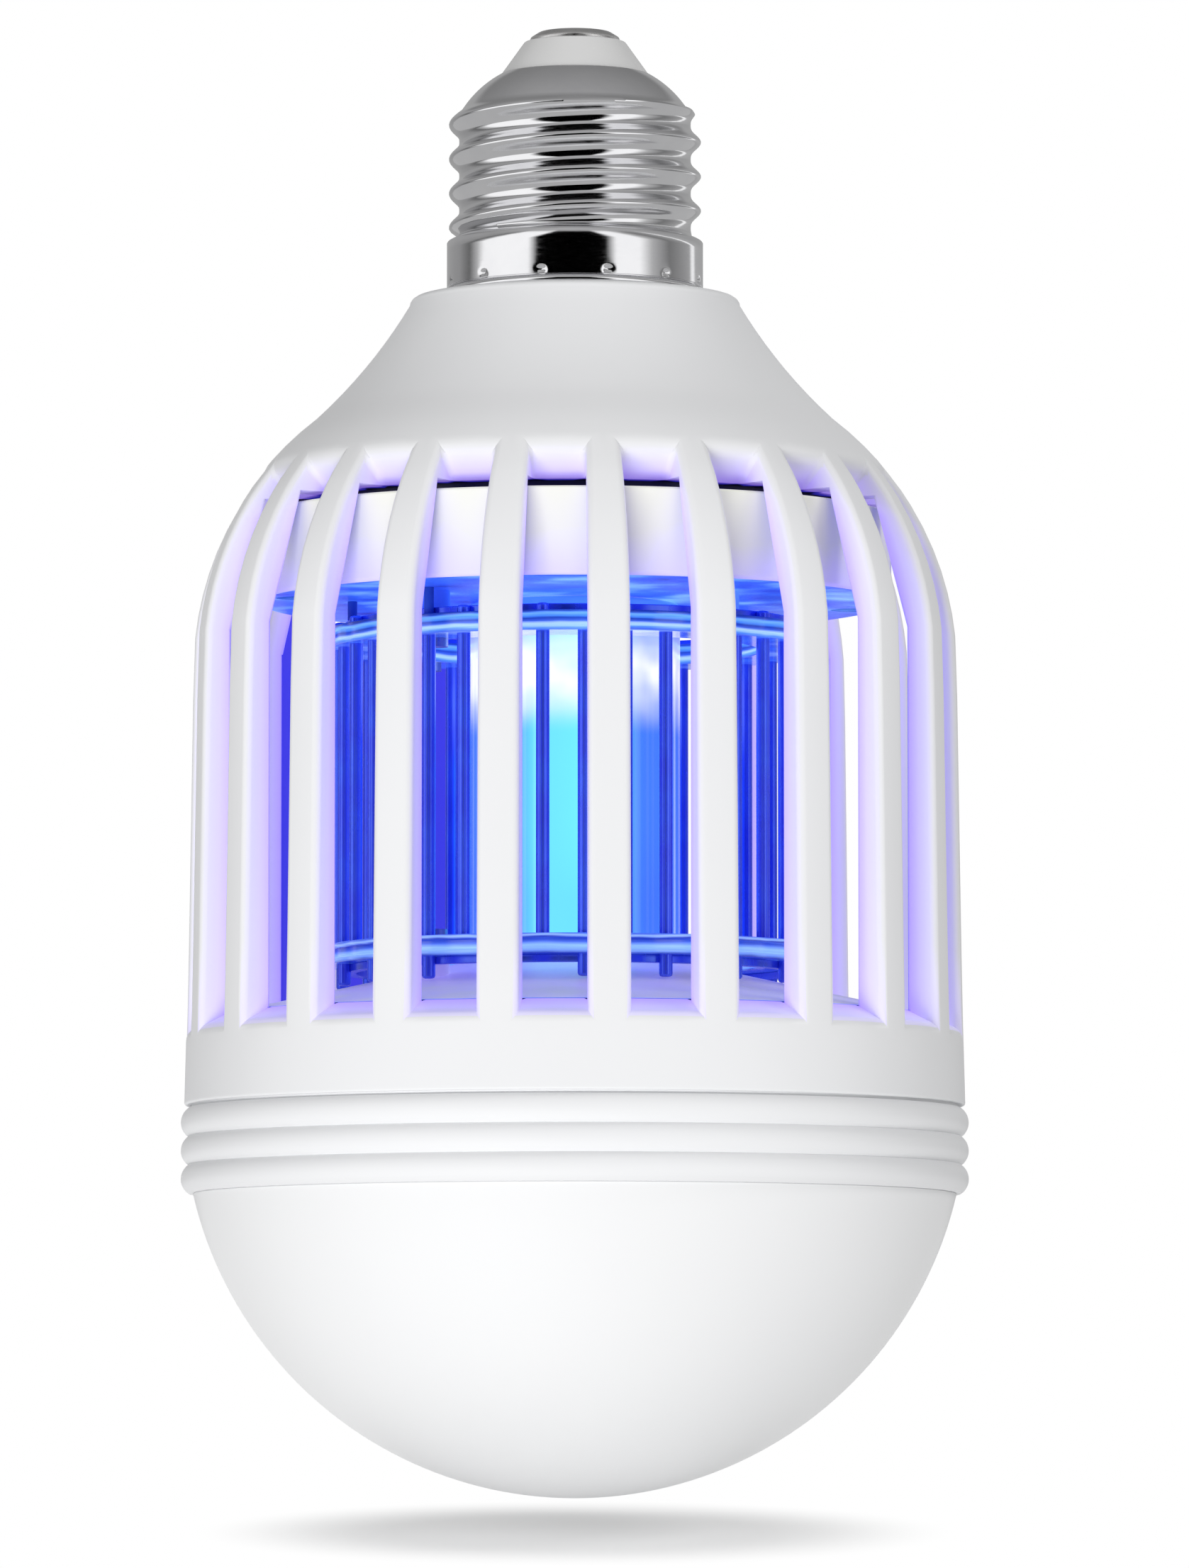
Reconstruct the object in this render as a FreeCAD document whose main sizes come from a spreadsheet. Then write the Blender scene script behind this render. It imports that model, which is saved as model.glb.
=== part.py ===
import FreeCAD, Part
import Sketcher
import math
import os
import re

# Lamp base up, axis on Z, origin at the end face of the centre contact.
# A level is a distance below that face, so a point at a level has z = -level.
doc = FreeCAD.newDocument("InsectLamp")
sheet = doc.addObject("Spreadsheet::Sheet", "sizes")

SIZES = [
    # Screw base
    ("contact_radius", 4.7), ("contact_face_radius", 3.8), ("contact_edge_level", 0.7),
    ("contact_level", 1.2), ("stem_radius", 1.2), ("stem_end_level", 8.8),
    ("insulator_top_radius", 5.3), ("insulator_rim_radius", 7.8), ("insulator_flange_radius", 9.4),
    ("insulator_end_level", 8.2), ("lip_level", 4.7), ("shell_wall", 0.4),
    ("shoulder_bulge_radius", 10.65), ("shoulder_bulge_level", 6.85),
    ("thread_core_radius", 12.15), ("thread_crest_radius", 13.23), ("thread_pitch", 3.63),
    ("thread_ridge_height", 2.9), ("thread_start_level", 8.6),
    ("thread_turn", 180.0), ("core_level", 8.9),
    ("core_end_level", 21.7), ("skirt_radius", 13.43), ("skirt_level", 22.4), ("skirt_end_level", 28.2),
    ("dimple_radius", 0.35), ("dimple_depth", 0.2), ("dimple_level", 26.7), ("dimple_count", 12),
    # Cage housing
    ("fit_gap", 0.1), ("spigot_level", 12.0), ("spigot_wall", 1.5),
    ("neck_level", 28.3), ("neck_radius", 17.34), ("neck_round", 0.9),
    ("flare_sag", 0.69), ("flare_level", 35.3), ("shoulder_inset", 12.7), ("shoulder_level", 41.35),
    ("bulge_inset", 4.4), ("bulge_level", 50.8), ("cage_radius", 39.9), ("cage_level", 65.7),
    ("band_swell", 0.5), ("band_level", 101.3), ("rim_swell", 0.8), ("rim_level", 113.0),
    ("cage_wall", 2.8), ("bore_level", 64.0), ("ledge_level", 50.3), ("ledge_inset", 6.5),
    ("chamber_wall", 5.4), ("chamber_level", 45.0), ("throat_level", 29.0), ("throat_flare", 1.05),
    ("slot_count", 22), ("slot_angle", 10.06), ("slot_turn", 5.18), ("slot_roof_wall", 1.9),
    ("slot_roof_angle", 45.0), ("slot_floor_level", 103.67), ("slot_floor_angle", 27.0),
    ("slot_reach", 16.0),
    # Tray under the electronics
    ("tray_gap", 0.3), ("tray_level", 51.3), ("tray_floor_level", 60.45), ("tray_wall", 1.5),
    ("tray_collar_wall", 1.6), ("column_offset", 1.8), ("column_radius", 3.0),
    ("column_count", 2), ("screw_radius", 1.1), ("screw_head_radius", 2.1), ("screw_head_height", 1.3),
    ("screw_bite", 3.9), ("pilot_spare", 0.3),
    # Electric grid
    ("grid_level", 63.3), ("grid_ring_height", 2.09), ("ring_clearance", 1.37),
    ("rod_ring_inset", 15.4), ("ring_outer_rim", 1.5), ("ring_inner_rim", 5.1), ("rod_radius", 0.7),
    ("rod_gap", 0.05), ("rod_count", 36), ("rod_turn", 2.4), ("rod_inset", 0.86),
    ("bus_inset", 1.1), ("bus_width", 1.2), ("bus_thickness", 0.8), ("post_inset", 3.4),
    ("post_radius", 1.5), ("post_count", 4), ("post_turn", 47.2), ("grid_screw_radius", 0.7),
    ("grid_screw_head_radius", 1.3), ("grid_screw_head_height", 0.9), ("grid_screw_bite", 1.7),
    # Ultraviolet lamp
    ("tube_radius", 11.0), ("tube_wall", 0.9), ("lamp_board_width", 13.0), ("lamp_board_thickness", 1.2),
    ("led_width", 3.0), ("led_length", 3.0), ("led_height", 0.8), ("lamp_led_rows", 5),
    ("lamp_led_pitch", 6.4), ("lead_radius", 0.5), ("light_lead_offset", 8.6), ("lead_spare", 0.3),
    # Deck, collar and dome
    ("deck_level", 98.2), ("deck_top_radius", 12.0), ("deck_wall", 1.6), ("deck_skirt_level", 109.0),
    ("seam_gap", 0.3), ("bead_height", 2.95), ("bead_rise", 0.78), ("root_inset", 0.43),
    ("collar_wall", 2.07), ("collar_spigot_wall", 1.9), ("shelf_width", 2.0), ("shelf_level", 114.8),
    ("shelf_height", 1.6), ("plate_thickness", 1.5), ("plate_gap", 0.2),
    ("dome_inset", 0.49), ("dome_height", 31.65), ("dome_wall", 1.5), ("dome_spigot_height", 4.0),
    ("dome_spigot_wall", 1.4),
    ("chip_size", 2.8), ("chip_height", 0.7), ("outer_chip_count", 16), ("outer_chip_ring", 24.0),
    ("inner_chip_count", 8), ("inner_chip_ring", 12.0), ("plate_screw_ring", 18.0), ("plate_screw_count", 3),
    # Driver electronics
    ("board_level", 48.85), ("board_thickness", 1.6), ("board_gap", 0.3), ("driver_radius", 28.0),
    ("core_width", 18.0), ("core_depth", 7.0), ("core_height", 12.0), ("window_width", 3.1),
    ("window_height", 7.0), ("leg_width", 4.8), ("winding_depth", 13.0), ("can_radius", 4.0),
    ("can_height", 9.0), ("can_offset", 16.0), ("film_width", 4.0),
    ("film_depth", 10.0), ("film_height", 8.0), ("film_offset", 14.5), ("fuse_radius", 1.7),
    ("fuse_length", 9.0), ("fuse_offset", 11.0), ("block_width", 11.0), ("block_depth", 5.0),
    ("block_height", 7.0), ("block_gap", 2.0), ("block_count", 3), ("lead_landing", 12.0),
    ("lead_drop_level", 39.0), ("lead_turn_level", 27.5), ("solder_level", 10.4), ("shell_lead_offset", 8.2),
    ("lead_bend", 5.0),
]

for row, (alias, number) in enumerate(SIZES, 1):
    sheet.set("A%d" % row, alias)
    sheet.set("B%d" % row, str(number))
    sheet.setAlias("B%d" % row, alias)
doc.recompute()

aliases = {alias for alias, number in SIZES}
pieces = []

# Diameters and levels that several pieces share, written from the sizes above.
CAGE_BORE = "(cage_radius - cage_wall)"
RIM_RADIUS = "(cage_radius + rim_swell)"
LEDGE_RADIUS = "(cage_radius - ledge_inset)"
CHAMBER_RADIUS = "(cage_radius - ledge_inset - chamber_wall)"
ROOF_RADIUS = "(cage_radius - ledge_inset - chamber_wall + slot_roof_wall)"
COLUMN_RING = "(cage_radius - ledge_inset - chamber_wall + column_offset)"
COLUMN_TURN = "(slot_turn + 180 / slot_count)"
ROD_RING = "(cage_radius - rod_ring_inset)"
BUS_RING = "(cage_radius - rod_ring_inset - bus_inset)"
POST_RING = "(cage_radius - rod_ring_inset - post_inset)"
GRID_SPOT = (POST_RING, "post_turn")
DRIVER_SCALE = "((cage_radius - ledge_inset - chamber_wall) / driver_radius)"
LEAD_TURN = "(rod_turn + 180 / rod_count + 180)"
RETURN_TURN = "(rod_turn + 180 + 5 * 360 / rod_count)"
SPIGOT_RADIUS = "(cage_radius - cage_wall - 2 * fit_gap)"
ROOT_RADIUS = "(cage_radius + rim_swell - root_inset)"
COLLAR_BORE = "(cage_radius + rim_swell - root_inset - collar_wall)"
SEAT_BORE = "(cage_radius - cage_wall - 2 * fit_gap - collar_spigot_wall)"
COLLAR_TOP = "(rim_level + seam_gap)"
COLLAR_END = "(rim_level + seam_gap + 3 * bead_height)"
DECK_FALL = "((slot_floor_level - deck_level) / (%s - deck_top_radius))" % SPIGOT_RADIUS
GRID_END = ("(deck_level + (%s - ring_inner_rim - deck_top_radius) * %s - ring_clearance)"
            % (ROD_RING, DECK_FALL))


def bound(text):
    """Write an expression with every size name pointed at the sheet."""
    return re.sub(r"[a-z_]+", lambda word: "sizes." + word[0] if word[0] in aliases else word[0], text)


def size(text):
    """Work an expression out from the sheet."""
    return float(sheet.evalExpression(bound(text)))


def bind(thing, target, text):
    thing.setExpression(target, bound(text))


def origin_part(body, role):
    return [part for part in body.Origin.OriginFeatures if part.Role == role][0]


def new_body(name):
    body = doc.addObject("PartDesign::Body", name)
    body.Label = name
    pieces.append(body)
    return body


def pin_point(sketch, element, end, across, up):
    """Hold one point of a sketch at two bound distances from the origin."""
    for kind, text in (("DistanceX", across), ("DistanceY", up)):
        place = Sketcher.Constraint(kind, -1, 1, element, end, size(text))
        bind(sketch, "Constraints[%d]" % sketch.addConstraint(place), text)


def section(body, name, corners, turn=None):
    """Closed half section: corners are (radius, height), and an arc adds a point it passes through."""
    sketch = body.newObject("Sketcher::SketchObject", name)
    sketch.AttachmentSupport = [(origin_part(body, "XZ_Plane"), "")]
    sketch.MapMode = "FlatFace"
    if turn:
        sketch.AttachmentOffset = FreeCAD.Placement(
            FreeCAD.Vector(), FreeCAD.Rotation(FreeCAD.Vector(0, 1, 0), size(turn)))
        bind(sketch, "AttachmentOffset.Rotation.Angle", turn)
    spots = [FreeCAD.Vector(size(corner[0]), size(corner[1]), 0) for corner in corners]
    ends = []
    for index, corner in enumerate(corners):
        start = spots[index]
        stop = spots[(index + 1) % len(corners)]
        if len(corner) == 2:
            line = sketch.addGeometry(Part.LineSegment(start, stop), False)
            ends.append((line, 1, 2))
            continue
        middle = FreeCAD.Vector(size(corner[2]), size(corner[3]), 0)
        anticlockwise = (middle - start).cross(stop - middle).z > 0
        if anticlockwise:
            arc = sketch.addGeometry(Part.Arc(start, middle, stop), False)
            ends.append((arc, 1, 2))
        else:
            arc = sketch.addGeometry(Part.Arc(stop, middle, start), False)
            ends.append((arc, 2, 1))
        guide = sketch.addGeometry(Part.Point(middle), True)
        sketch.addConstraint(Sketcher.Constraint("PointOnObject", guide, 1, arc))
        pin_point(sketch, guide, 1, corner[2], corner[3])
    for index, corner in enumerate(corners):
        element, first, last = ends[index]
        following, joined, _ = ends[(index + 1) % len(corners)]
        sketch.addConstraint(Sketcher.Constraint("Coincident", element, last, following, joined))
        pin_point(sketch, element, first, corner[0], corner[1])
    return sketch


def turned(body, name, corners):
    """Revolve a half section once round the axis."""
    sketch = section(body, name + "_section", corners)
    feature = body.newObject("PartDesign::Revolution", name)
    feature.Profile = sketch
    feature.ReferenceAxis = (sketch, ["V_Axis"])
    feature.Angle = 360
    return feature


def discs(body, name, level, circles):
    """Sketch of circles (across, up, radius) on a level plane."""
    sketch = body.newObject("Sketcher::SketchObject", name)
    sketch.AttachmentSupport = [(origin_part(body, "XY_Plane"), "")]
    sketch.MapMode = "FlatFace"
    bind(sketch, "AttachmentOffset.Base.z", "-(%s)" % level)
    for across, up, radius in circles:
        centre = FreeCAD.Vector(size(across), size(up), 0)
        circle = sketch.addGeometry(Part.Circle(centre, FreeCAD.Vector(0, 0, 1), size(radius)), False)
        pin_point(sketch, circle, 3, across, up)
        rule = sketch.addConstraint(Sketcher.Constraint("Radius", circle, size(radius)))
        bind(sketch, "Constraints[%d]" % rule, radius)
    return sketch


def on_ring(ring_radius, turn, radius):
    """One circle centred on a ring, at a turn from +X."""
    return ("%s * cos(%s)" % (ring_radius, turn), "%s * sin(%s)" % (ring_radius, turn), radius)


def grown(body, name, level, end_level, circles):
    """Pad circles downward from one level to another."""
    feature = body.newObject("PartDesign::Pad", name)
    feature.Profile = discs(body, name + "_discs", level, circles)
    feature.Reversed = True
    bind(feature, "Length", "%s - (%s)" % (end_level, level))
    return feature


def bored(body, name, level, end_level, circles):
    """Cut circles downward from one level to another."""
    feature = body.newObject("PartDesign::Pocket", name)
    feature.Profile = discs(body, name + "_discs", level, circles)
    bind(feature, "Length", "%s - (%s)" % (end_level, level))
    return feature


def repeated(body, name, features, count):
    """Repeat features evenly round the axis."""
    pattern = body.newObject("PartDesign::PolarPattern", name)
    pattern.Originals = features
    pattern.Axis = (origin_part(body, "Z_Axis"), [""])
    pattern.Angle = 360
    bind(pattern, "Occurrences", count)
    body.Tip = pattern
    return pattern


def grouped(name, members):
    """Like pieces kept as one group of separate solids."""
    group = doc.addObject("Part::Compound", name)
    group.Label = name
    group.Links = members
    pieces.append(group)
    return group


def box(name, width, depth, height, across, along, up):
    """Block centred across and along, with its underside at a height."""
    block = doc.addObject("Part::Box", name)
    bind(block, "Length", width)
    bind(block, "Width", depth)
    bind(block, "Height", height)
    bind(block, "Placement.Base.x", "%s - (%s) / 2" % (across, width))
    bind(block, "Placement.Base.y", "%s - (%s) / 2" % (along, depth))
    bind(block, "Placement.Base.z", up)
    return block


def round_bar(name, radius, length, across, along, up):
    """Upright cylinder with its underside at a height."""
    bar = doc.addObject("Part::Cylinder", name)
    bind(bar, "Radius", radius)
    bind(bar, "Height", length)
    bind(bar, "Placement.Base.x", across)
    bind(bar, "Placement.Base.y", along)
    bind(bar, "Placement.Base.z", up)
    return bar


def centre_contact():
    body = new_body("centre_contact")
    turned(body, "button", [
        ("0", "0"), ("contact_face_radius", "0"),
        ("contact_radius", "-contact_edge_level"), ("contact_radius", "-contact_level"),
        ("stem_radius", "-contact_level"), ("stem_radius", "-stem_end_level"), ("0", "-stem_end_level")])


def base_insulator():
    body = new_body("base_insulator")
    hole = "stem_radius + fit_gap"
    tuck = "-(lip_level + shell_wall + 3 * fit_gap)"
    turned(body, "cone", [
        (hole, "-contact_level"), ("insulator_top_radius", "-contact_level"),
        ("insulator_rim_radius", "-lip_level"), ("insulator_rim_radius", tuck),
        ("insulator_flange_radius", tuck + " - (insulator_flange_radius - insulator_rim_radius)"),
        ("insulator_flange_radius", "-insulator_end_level"), (hole, "-insulator_end_level")])


def screw_shell():
    """Rolled shell with a raised right-handed thread and a ring of punched dimples."""
    body = new_body("screw_shell")
    lip = "insulator_rim_radius + fit_gap"
    turned(body, "rolled_wall", [
        (lip, "-lip_level", "shoulder_bulge_radius", "-shoulder_bulge_level"),
        ("thread_core_radius", "-core_level"), ("thread_core_radius", "-core_end_level"),
        ("skirt_radius", "-skirt_level"), ("skirt_radius", "-skirt_end_level"),
        ("skirt_radius - shell_wall", "-skirt_end_level"), ("skirt_radius - shell_wall", "-skirt_level"),
        ("thread_core_radius - shell_wall", "-core_end_level"),
        ("thread_core_radius - shell_wall", "-core_level",
         "shoulder_bulge_radius - shell_wall", "-shoulder_bulge_level - shell_wall"),
        (lip, "-lip_level - 1.4 * shell_wall")])
    seat = "thread_core_radius - shell_wall / 2"
    ridge = section(body, "ridge_section", [
        (seat, "-thread_start_level"),
        ("thread_crest_radius", "-thread_start_level - 0.38 * thread_ridge_height"),
        ("thread_crest_radius", "-thread_start_level - 0.62 * thread_ridge_height"),
        (seat, "-thread_start_level - thread_ridge_height")], turn="thread_turn")
    thread = body.newObject("PartDesign::AdditiveHelix", "thread")
    thread.Profile = ridge
    thread.ReferenceAxis = (ridge, ["V_Axis"])
    thread.Mode = "pitch-turns-angle"
    thread.Reversed = True
    bind(thread, "Pitch", "thread_pitch")
    bind(thread, "Turns", "(core_end_level - thread_start_level - thread_ridge_height) / thread_pitch")
    dimple = body.newObject("PartDesign::SubtractiveSphere", "dimple")
    dimple.AttachmentSupport = [(origin_part(body, "XY_Plane"), "")]
    dimple.MapMode = "FlatFace"
    bind(dimple, "Radius", "dimple_radius")
    bind(dimple, "AttachmentOffset.Base.x", "skirt_radius + dimple_radius - dimple_depth")
    bind(dimple, "AttachmentOffset.Base.z", "-dimple_level")
    repeated(body, "dimples", [dimple], "dimple_count")


def cage_housing():
    """One moulding: neck, flared shoulder, slotted cage and lower band."""
    body = new_body("cage_housing")
    spigot = "(thread_core_radius - shell_wall - fit_gap)"
    throat = spigot + " - spigot_wall"
    skirt_spigot = "skirt_radius - shell_wall - fit_gap"
    step = "0.5 * (skirt_level - core_end_level)"
    shoulder = "(cage_radius - shoulder_inset)"
    turned(body, "moulding", [
        (throat, "-spigot_level"), (spigot, "-spigot_level"),
        (spigot, "-core_end_level - " + step), (skirt_spigot, "-skirt_level - " + step),
        (skirt_spigot, "-neck_level"),
        ("neck_radius - neck_round", "-neck_level",
         "neck_radius - neck_round * (1 - cos(45))", "-neck_level - neck_round * (1 - cos(45))"),
        ("neck_radius", "-neck_level - neck_round",
         "(neck_radius + %s) / 2 - flare_sag" % shoulder, "-flare_level"),
        (shoulder, "-shoulder_level", "cage_radius - bulge_inset", "-bulge_level"),
        ("cage_radius", "-cage_level"), ("cage_radius + band_swell", "-band_level"),
        (RIM_RADIUS, "-rim_level"), (CAGE_BORE, "-rim_level"), (CAGE_BORE, "-bore_level"),
        (LEDGE_RADIUS, "-ledge_level"), (CHAMBER_RADIUS, "-ledge_level"),
        (CHAMBER_RADIUS, "-chamber_level"), (throat + " + throat_flare", "-throat_level"),
        (throat, "-throat_level + neck_round")])
    outside = "(%s + slot_reach)" % ROOF_RADIUS
    cutter = section(body, "slot_section", [
        (ROOF_RADIUS, "-ledge_level"),
        (outside, "-ledge_level + slot_reach * tan(slot_roof_angle)"),
        (outside, "-slot_floor_level - (%s - %s) * tan(slot_floor_angle)" % (outside, CAGE_BORE)),
        (ROOF_RADIUS, "-slot_floor_level + (%s - %s) * tan(slot_floor_angle)" % (CAGE_BORE, ROOF_RADIUS))],
        turn="slot_turn")
    slot = body.newObject("PartDesign::Groove", "slot")
    slot.Profile = cutter
    slot.ReferenceAxis = (cutter, ["V_Axis"])
    slot.Midplane = True
    bind(slot, "Angle", "slot_angle")
    repeated(body, "slots", [slot], "slot_count")
    pilot = bored(body, "screw_pilots", "ledge_level - screw_bite - pilot_spare", "ledge_level", [
        on_ring(COLUMN_RING, COLUMN_TURN, "screw_radius + fit_gap / 2")])
    repeated(body, "pilots", [pilot], "column_count")


def upper_tray():
    """Pan that closes the driver chamber, with screw columns above and grid posts below."""
    body = new_body("upper_tray")
    collar = "%s - fit_gap" % CHAMBER_RADIUS
    floor_top = "-tray_floor_level + tray_wall"
    rim = "(%s - tray_gap)" % LEDGE_RADIUS
    turned(body, "pan", [
        ("0", floor_top), (collar + " - tray_collar_wall", floor_top),
        (collar + " - tray_collar_wall", "-board_level"), (collar, "-board_level"), (collar, floor_top),
        (rim + " - tray_wall", floor_top), (rim + " - tray_wall", "-tray_level"),
        (rim, "-tray_level"), (rim, "-tray_floor_level"), ("0", "-tray_floor_level")])
    column = grown(body, "column", "ledge_level", "tray_floor_level - tray_wall / 2", [
        on_ring(COLUMN_RING, COLUMN_TURN, "column_radius")])
    shaft = bored(body, "column_hole", "ledge_level", "tray_floor_level", [
        on_ring(COLUMN_RING, COLUMN_TURN, "screw_radius + fit_gap")])
    recess = bored(body, "head_recess", "tray_floor_level - screw_head_height", "tray_floor_level", [
        on_ring(COLUMN_RING, COLUMN_TURN, "screw_head_radius + fit_gap")])
    repeated(body, "columns", [column, shaft, recess], "column_count")
    post = grown(body, "post", "tray_floor_level - tray_wall / 2", "grid_level", [
        on_ring(*GRID_SPOT, "post_radius")])
    post_hole = bored(body, "post_hole", "grid_level - grid_screw_bite - pilot_spare", "grid_level", [
        on_ring(*GRID_SPOT, "grid_screw_radius + rod_gap")])
    repeated(body, "posts", [post, post_hole], "post_count")
    lead_hole = "lead_radius + lead_spare"
    body.Tip = bored(body, "lead_holes", "tray_floor_level - tray_wall", "tray_floor_level", [
        ("light_lead_offset", "0", lead_hole), ("-light_lead_offset", "0", lead_hole),
        on_ring(BUS_RING, LEAD_TURN, lead_hole),
        on_ring(ROD_RING, RETURN_TURN, lead_hole)])


def grid_ring(name, top, bottom):
    """Moulded ring with a hole for every rod and one for every grid screw."""
    body = new_body(name)
    inner = ROD_RING + " - ring_inner_rim"
    outer = ROD_RING + " + ring_outer_rim"
    turned(body, "band", [
        (inner, "-(%s)" % top), (outer, "-(%s)" % top),
        (outer, "-(%s)" % bottom), (inner, "-(%s)" % bottom)])
    rod_hole = bored(body, "rod_hole", top, bottom, [
        on_ring(ROD_RING, "rod_turn", "rod_radius + rod_gap")])
    repeated(body, "rod_holes", [rod_hole], "rod_count")
    screw_hole = bored(body, "screw_hole", top, bottom, [
        on_ring(*GRID_SPOT, "grid_screw_radius + rod_gap")])
    repeated(body, "screw_holes", [screw_hole], "post_count")


def wire_grid(name, bus_level, top, bottom, turn):
    """Upright rods welded to one flat bus ring."""
    body = new_body(name)
    bus_top = "-(%s) + bus_thickness / 2" % bus_level
    bus_foot = "-(%s) - bus_thickness / 2" % bus_level
    inner = BUS_RING + " - bus_width / 2"
    outer = BUS_RING + " + bus_width / 2"
    turned(body, "bus", [(inner, bus_top), (outer, bus_top), (outer, bus_foot), (inner, bus_foot)])
    rod = grown(body, "rod", top, bottom, [on_ring(ROD_RING, turn, "rod_radius")])
    repeated(body, "rods", [rod], "rod_count / 2")


def electric_grid():
    """Two rings hold two wire grids, whose rods stand in turn round the lamp."""
    tail = "deck_level + (%s - rod_radius - deck_top_radius) * %s - fit_gap / 2" % (ROD_RING, DECK_FALL)
    grid_ring("grid_top_ring", "grid_level", "grid_level + grid_ring_height")
    grid_ring("grid_bottom_ring", GRID_END + " - grid_ring_height", GRID_END)
    wire_grid("live_grid", "grid_level - bus_thickness / 2", "grid_level - bus_thickness",
              GRID_END + " - rod_inset", "rod_turn")
    wire_grid("return_grid", GRID_END + " + bus_thickness / 2", "grid_level + rod_inset",
              tail, "(rod_turn + 360 / rod_count)")


def screw(name, ring_radius, turn, head_radius, head_height, shank_radius, shank_length,
          head_level, points_up):
    """Pan-head screw on a ring, its head under or over the piece that it clamps."""
    across = "%s * cos(%s)" % (ring_radius, turn)
    along = "%s * sin(%s)" % (ring_radius, turn)
    if points_up:
        head_foot = "-(%s) - %s" % (head_level, head_height)
        shank_foot = "-(%s) - %s / 2" % (head_level, head_height)
    else:
        head_foot = "-(%s)" % head_level
        shank_foot = "-(%s) - %s" % (head_level, shank_length)
    head = round_bar(name + "_head", head_radius, head_height, across, along, head_foot)
    shank = round_bar(name + "_shank", shank_radius, "%s + %s / 2" % (shank_length, head_height),
                      across, along, shank_foot)
    whole = doc.addObject("Part::Fuse", name)
    whole.Base = head
    whole.Tool = shank
    return whole


def fasteners():
    tray = []
    for index in range(round(size("column_count"))):
        turn = "(%s + %d * 360 / column_count)" % (COLUMN_TURN, index)
        tray.append(screw("tray_screw_%d" % index, COLUMN_RING, turn, "screw_head_radius",
                          "screw_head_height", "screw_radius",
                          "(tray_floor_level - screw_head_height - ledge_level + screw_bite)",
                          "tray_floor_level - screw_head_height", True))
    grouped("tray_screws", tray)
    grid = []
    for index in range(round(size("post_count"))):
        turn = "(post_turn + %d * 360 / post_count)" % index
        reach = "(grid_ring_height + grid_screw_bite)"
        grid.append(screw("upper_grid_screw_%d" % index, POST_RING, turn,
                          "grid_screw_head_radius", "grid_screw_head_height", "grid_screw_radius",
                          reach, "grid_level + grid_ring_height", True))
        grid.append(screw("lower_grid_screw_%d" % index, POST_RING, turn,
                          "grid_screw_head_radius", "grid_screw_head_height", "grid_screw_radius",
                          reach, GRID_END + " - grid_ring_height", False))
    grouped("grid_screws", grid)
    plate = []
    for index in range(round(size("plate_screw_count"))):
        turn = "(60 + %d * 360 / plate_screw_count)" % index
        plate.append(screw("plate_screw_%d" % index, "plate_screw_ring", turn, "screw_head_radius",
                           "screw_head_height", "screw_radius", "plate_thickness", "shelf_level", True))
    grouped("plate_screws", plate)


def lamp():
    """Clear tube round an upright board with light chips on both faces."""
    body = new_body("lamp_tube")
    turned(body, "tube", [
        ("tube_radius - tube_wall", "-tray_floor_level - fit_gap"),
        ("tube_radius", "-tray_floor_level - fit_gap"),
        ("tube_radius", "-deck_level"), ("tube_radius - tube_wall", "-deck_level")])
    board = box("lamp_board", "lamp_board_width", "lamp_board_thickness",
                "deck_level - tray_floor_level - fit_gap", "0", "0", "-deck_level")
    board.Label = "lamp_board"
    pieces.append(board)
    chips = []
    for row in range(round(size("lamp_led_rows"))):
        height = ("-(deck_level + tray_floor_level) / 2 - led_length / 2"
                  " + (%d - (lamp_led_rows - 1) / 2) * lamp_led_pitch" % row)
        for side in (-1, 1):
            offset = "%d * (lamp_board_thickness + led_height) / 2" % side
            chips.append(box("lamp_led_%d_%d" % (row, side + 1), "led_width", "led_height", "led_length",
                             "0", offset, height))
    grouped("lamp_leds", chips)


def lower_deck():
    """Shallow cone that sheds insects through the slots, with a skirt in the lower band."""
    body = new_body("lower_deck")
    turned(body, "cone", [
        ("0", "-deck_level"), ("deck_top_radius", "-deck_level"), (SPIGOT_RADIUS, "-slot_floor_level"),
        (SPIGOT_RADIUS, "-deck_skirt_level"), (SPIGOT_RADIUS + " - deck_wall", "-deck_skirt_level"),
        (SPIGOT_RADIUS + " - deck_wall", "-slot_floor_level - deck_wall"),
        ("deck_top_radius", "-deck_level - deck_wall"), ("0", "-deck_level - deck_wall")])
    fall = "(%s + post_radius - deck_top_radius) * %s" % (POST_RING, DECK_FALL)
    post_end = "deck_level + %s + deck_wall / 4" % fall
    post = grown(body, "post", GRID_END, post_end, [on_ring(*GRID_SPOT, "post_radius")])
    post_hole = bored(body, "post_hole", GRID_END, GRID_END + " + grid_screw_bite + pilot_spare", [
        on_ring(*GRID_SPOT, "grid_screw_radius + rod_gap")])
    repeated(body, "posts", [post, post_hole], "post_count")
    lead_hole = "lead_radius + lead_spare"
    body.Tip = bored(body, "lead_holes", "deck_level", "deck_level + deck_wall", [
        ("light_lead_offset", "0", lead_hole), ("-light_lead_offset", "0", lead_hole)])


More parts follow.
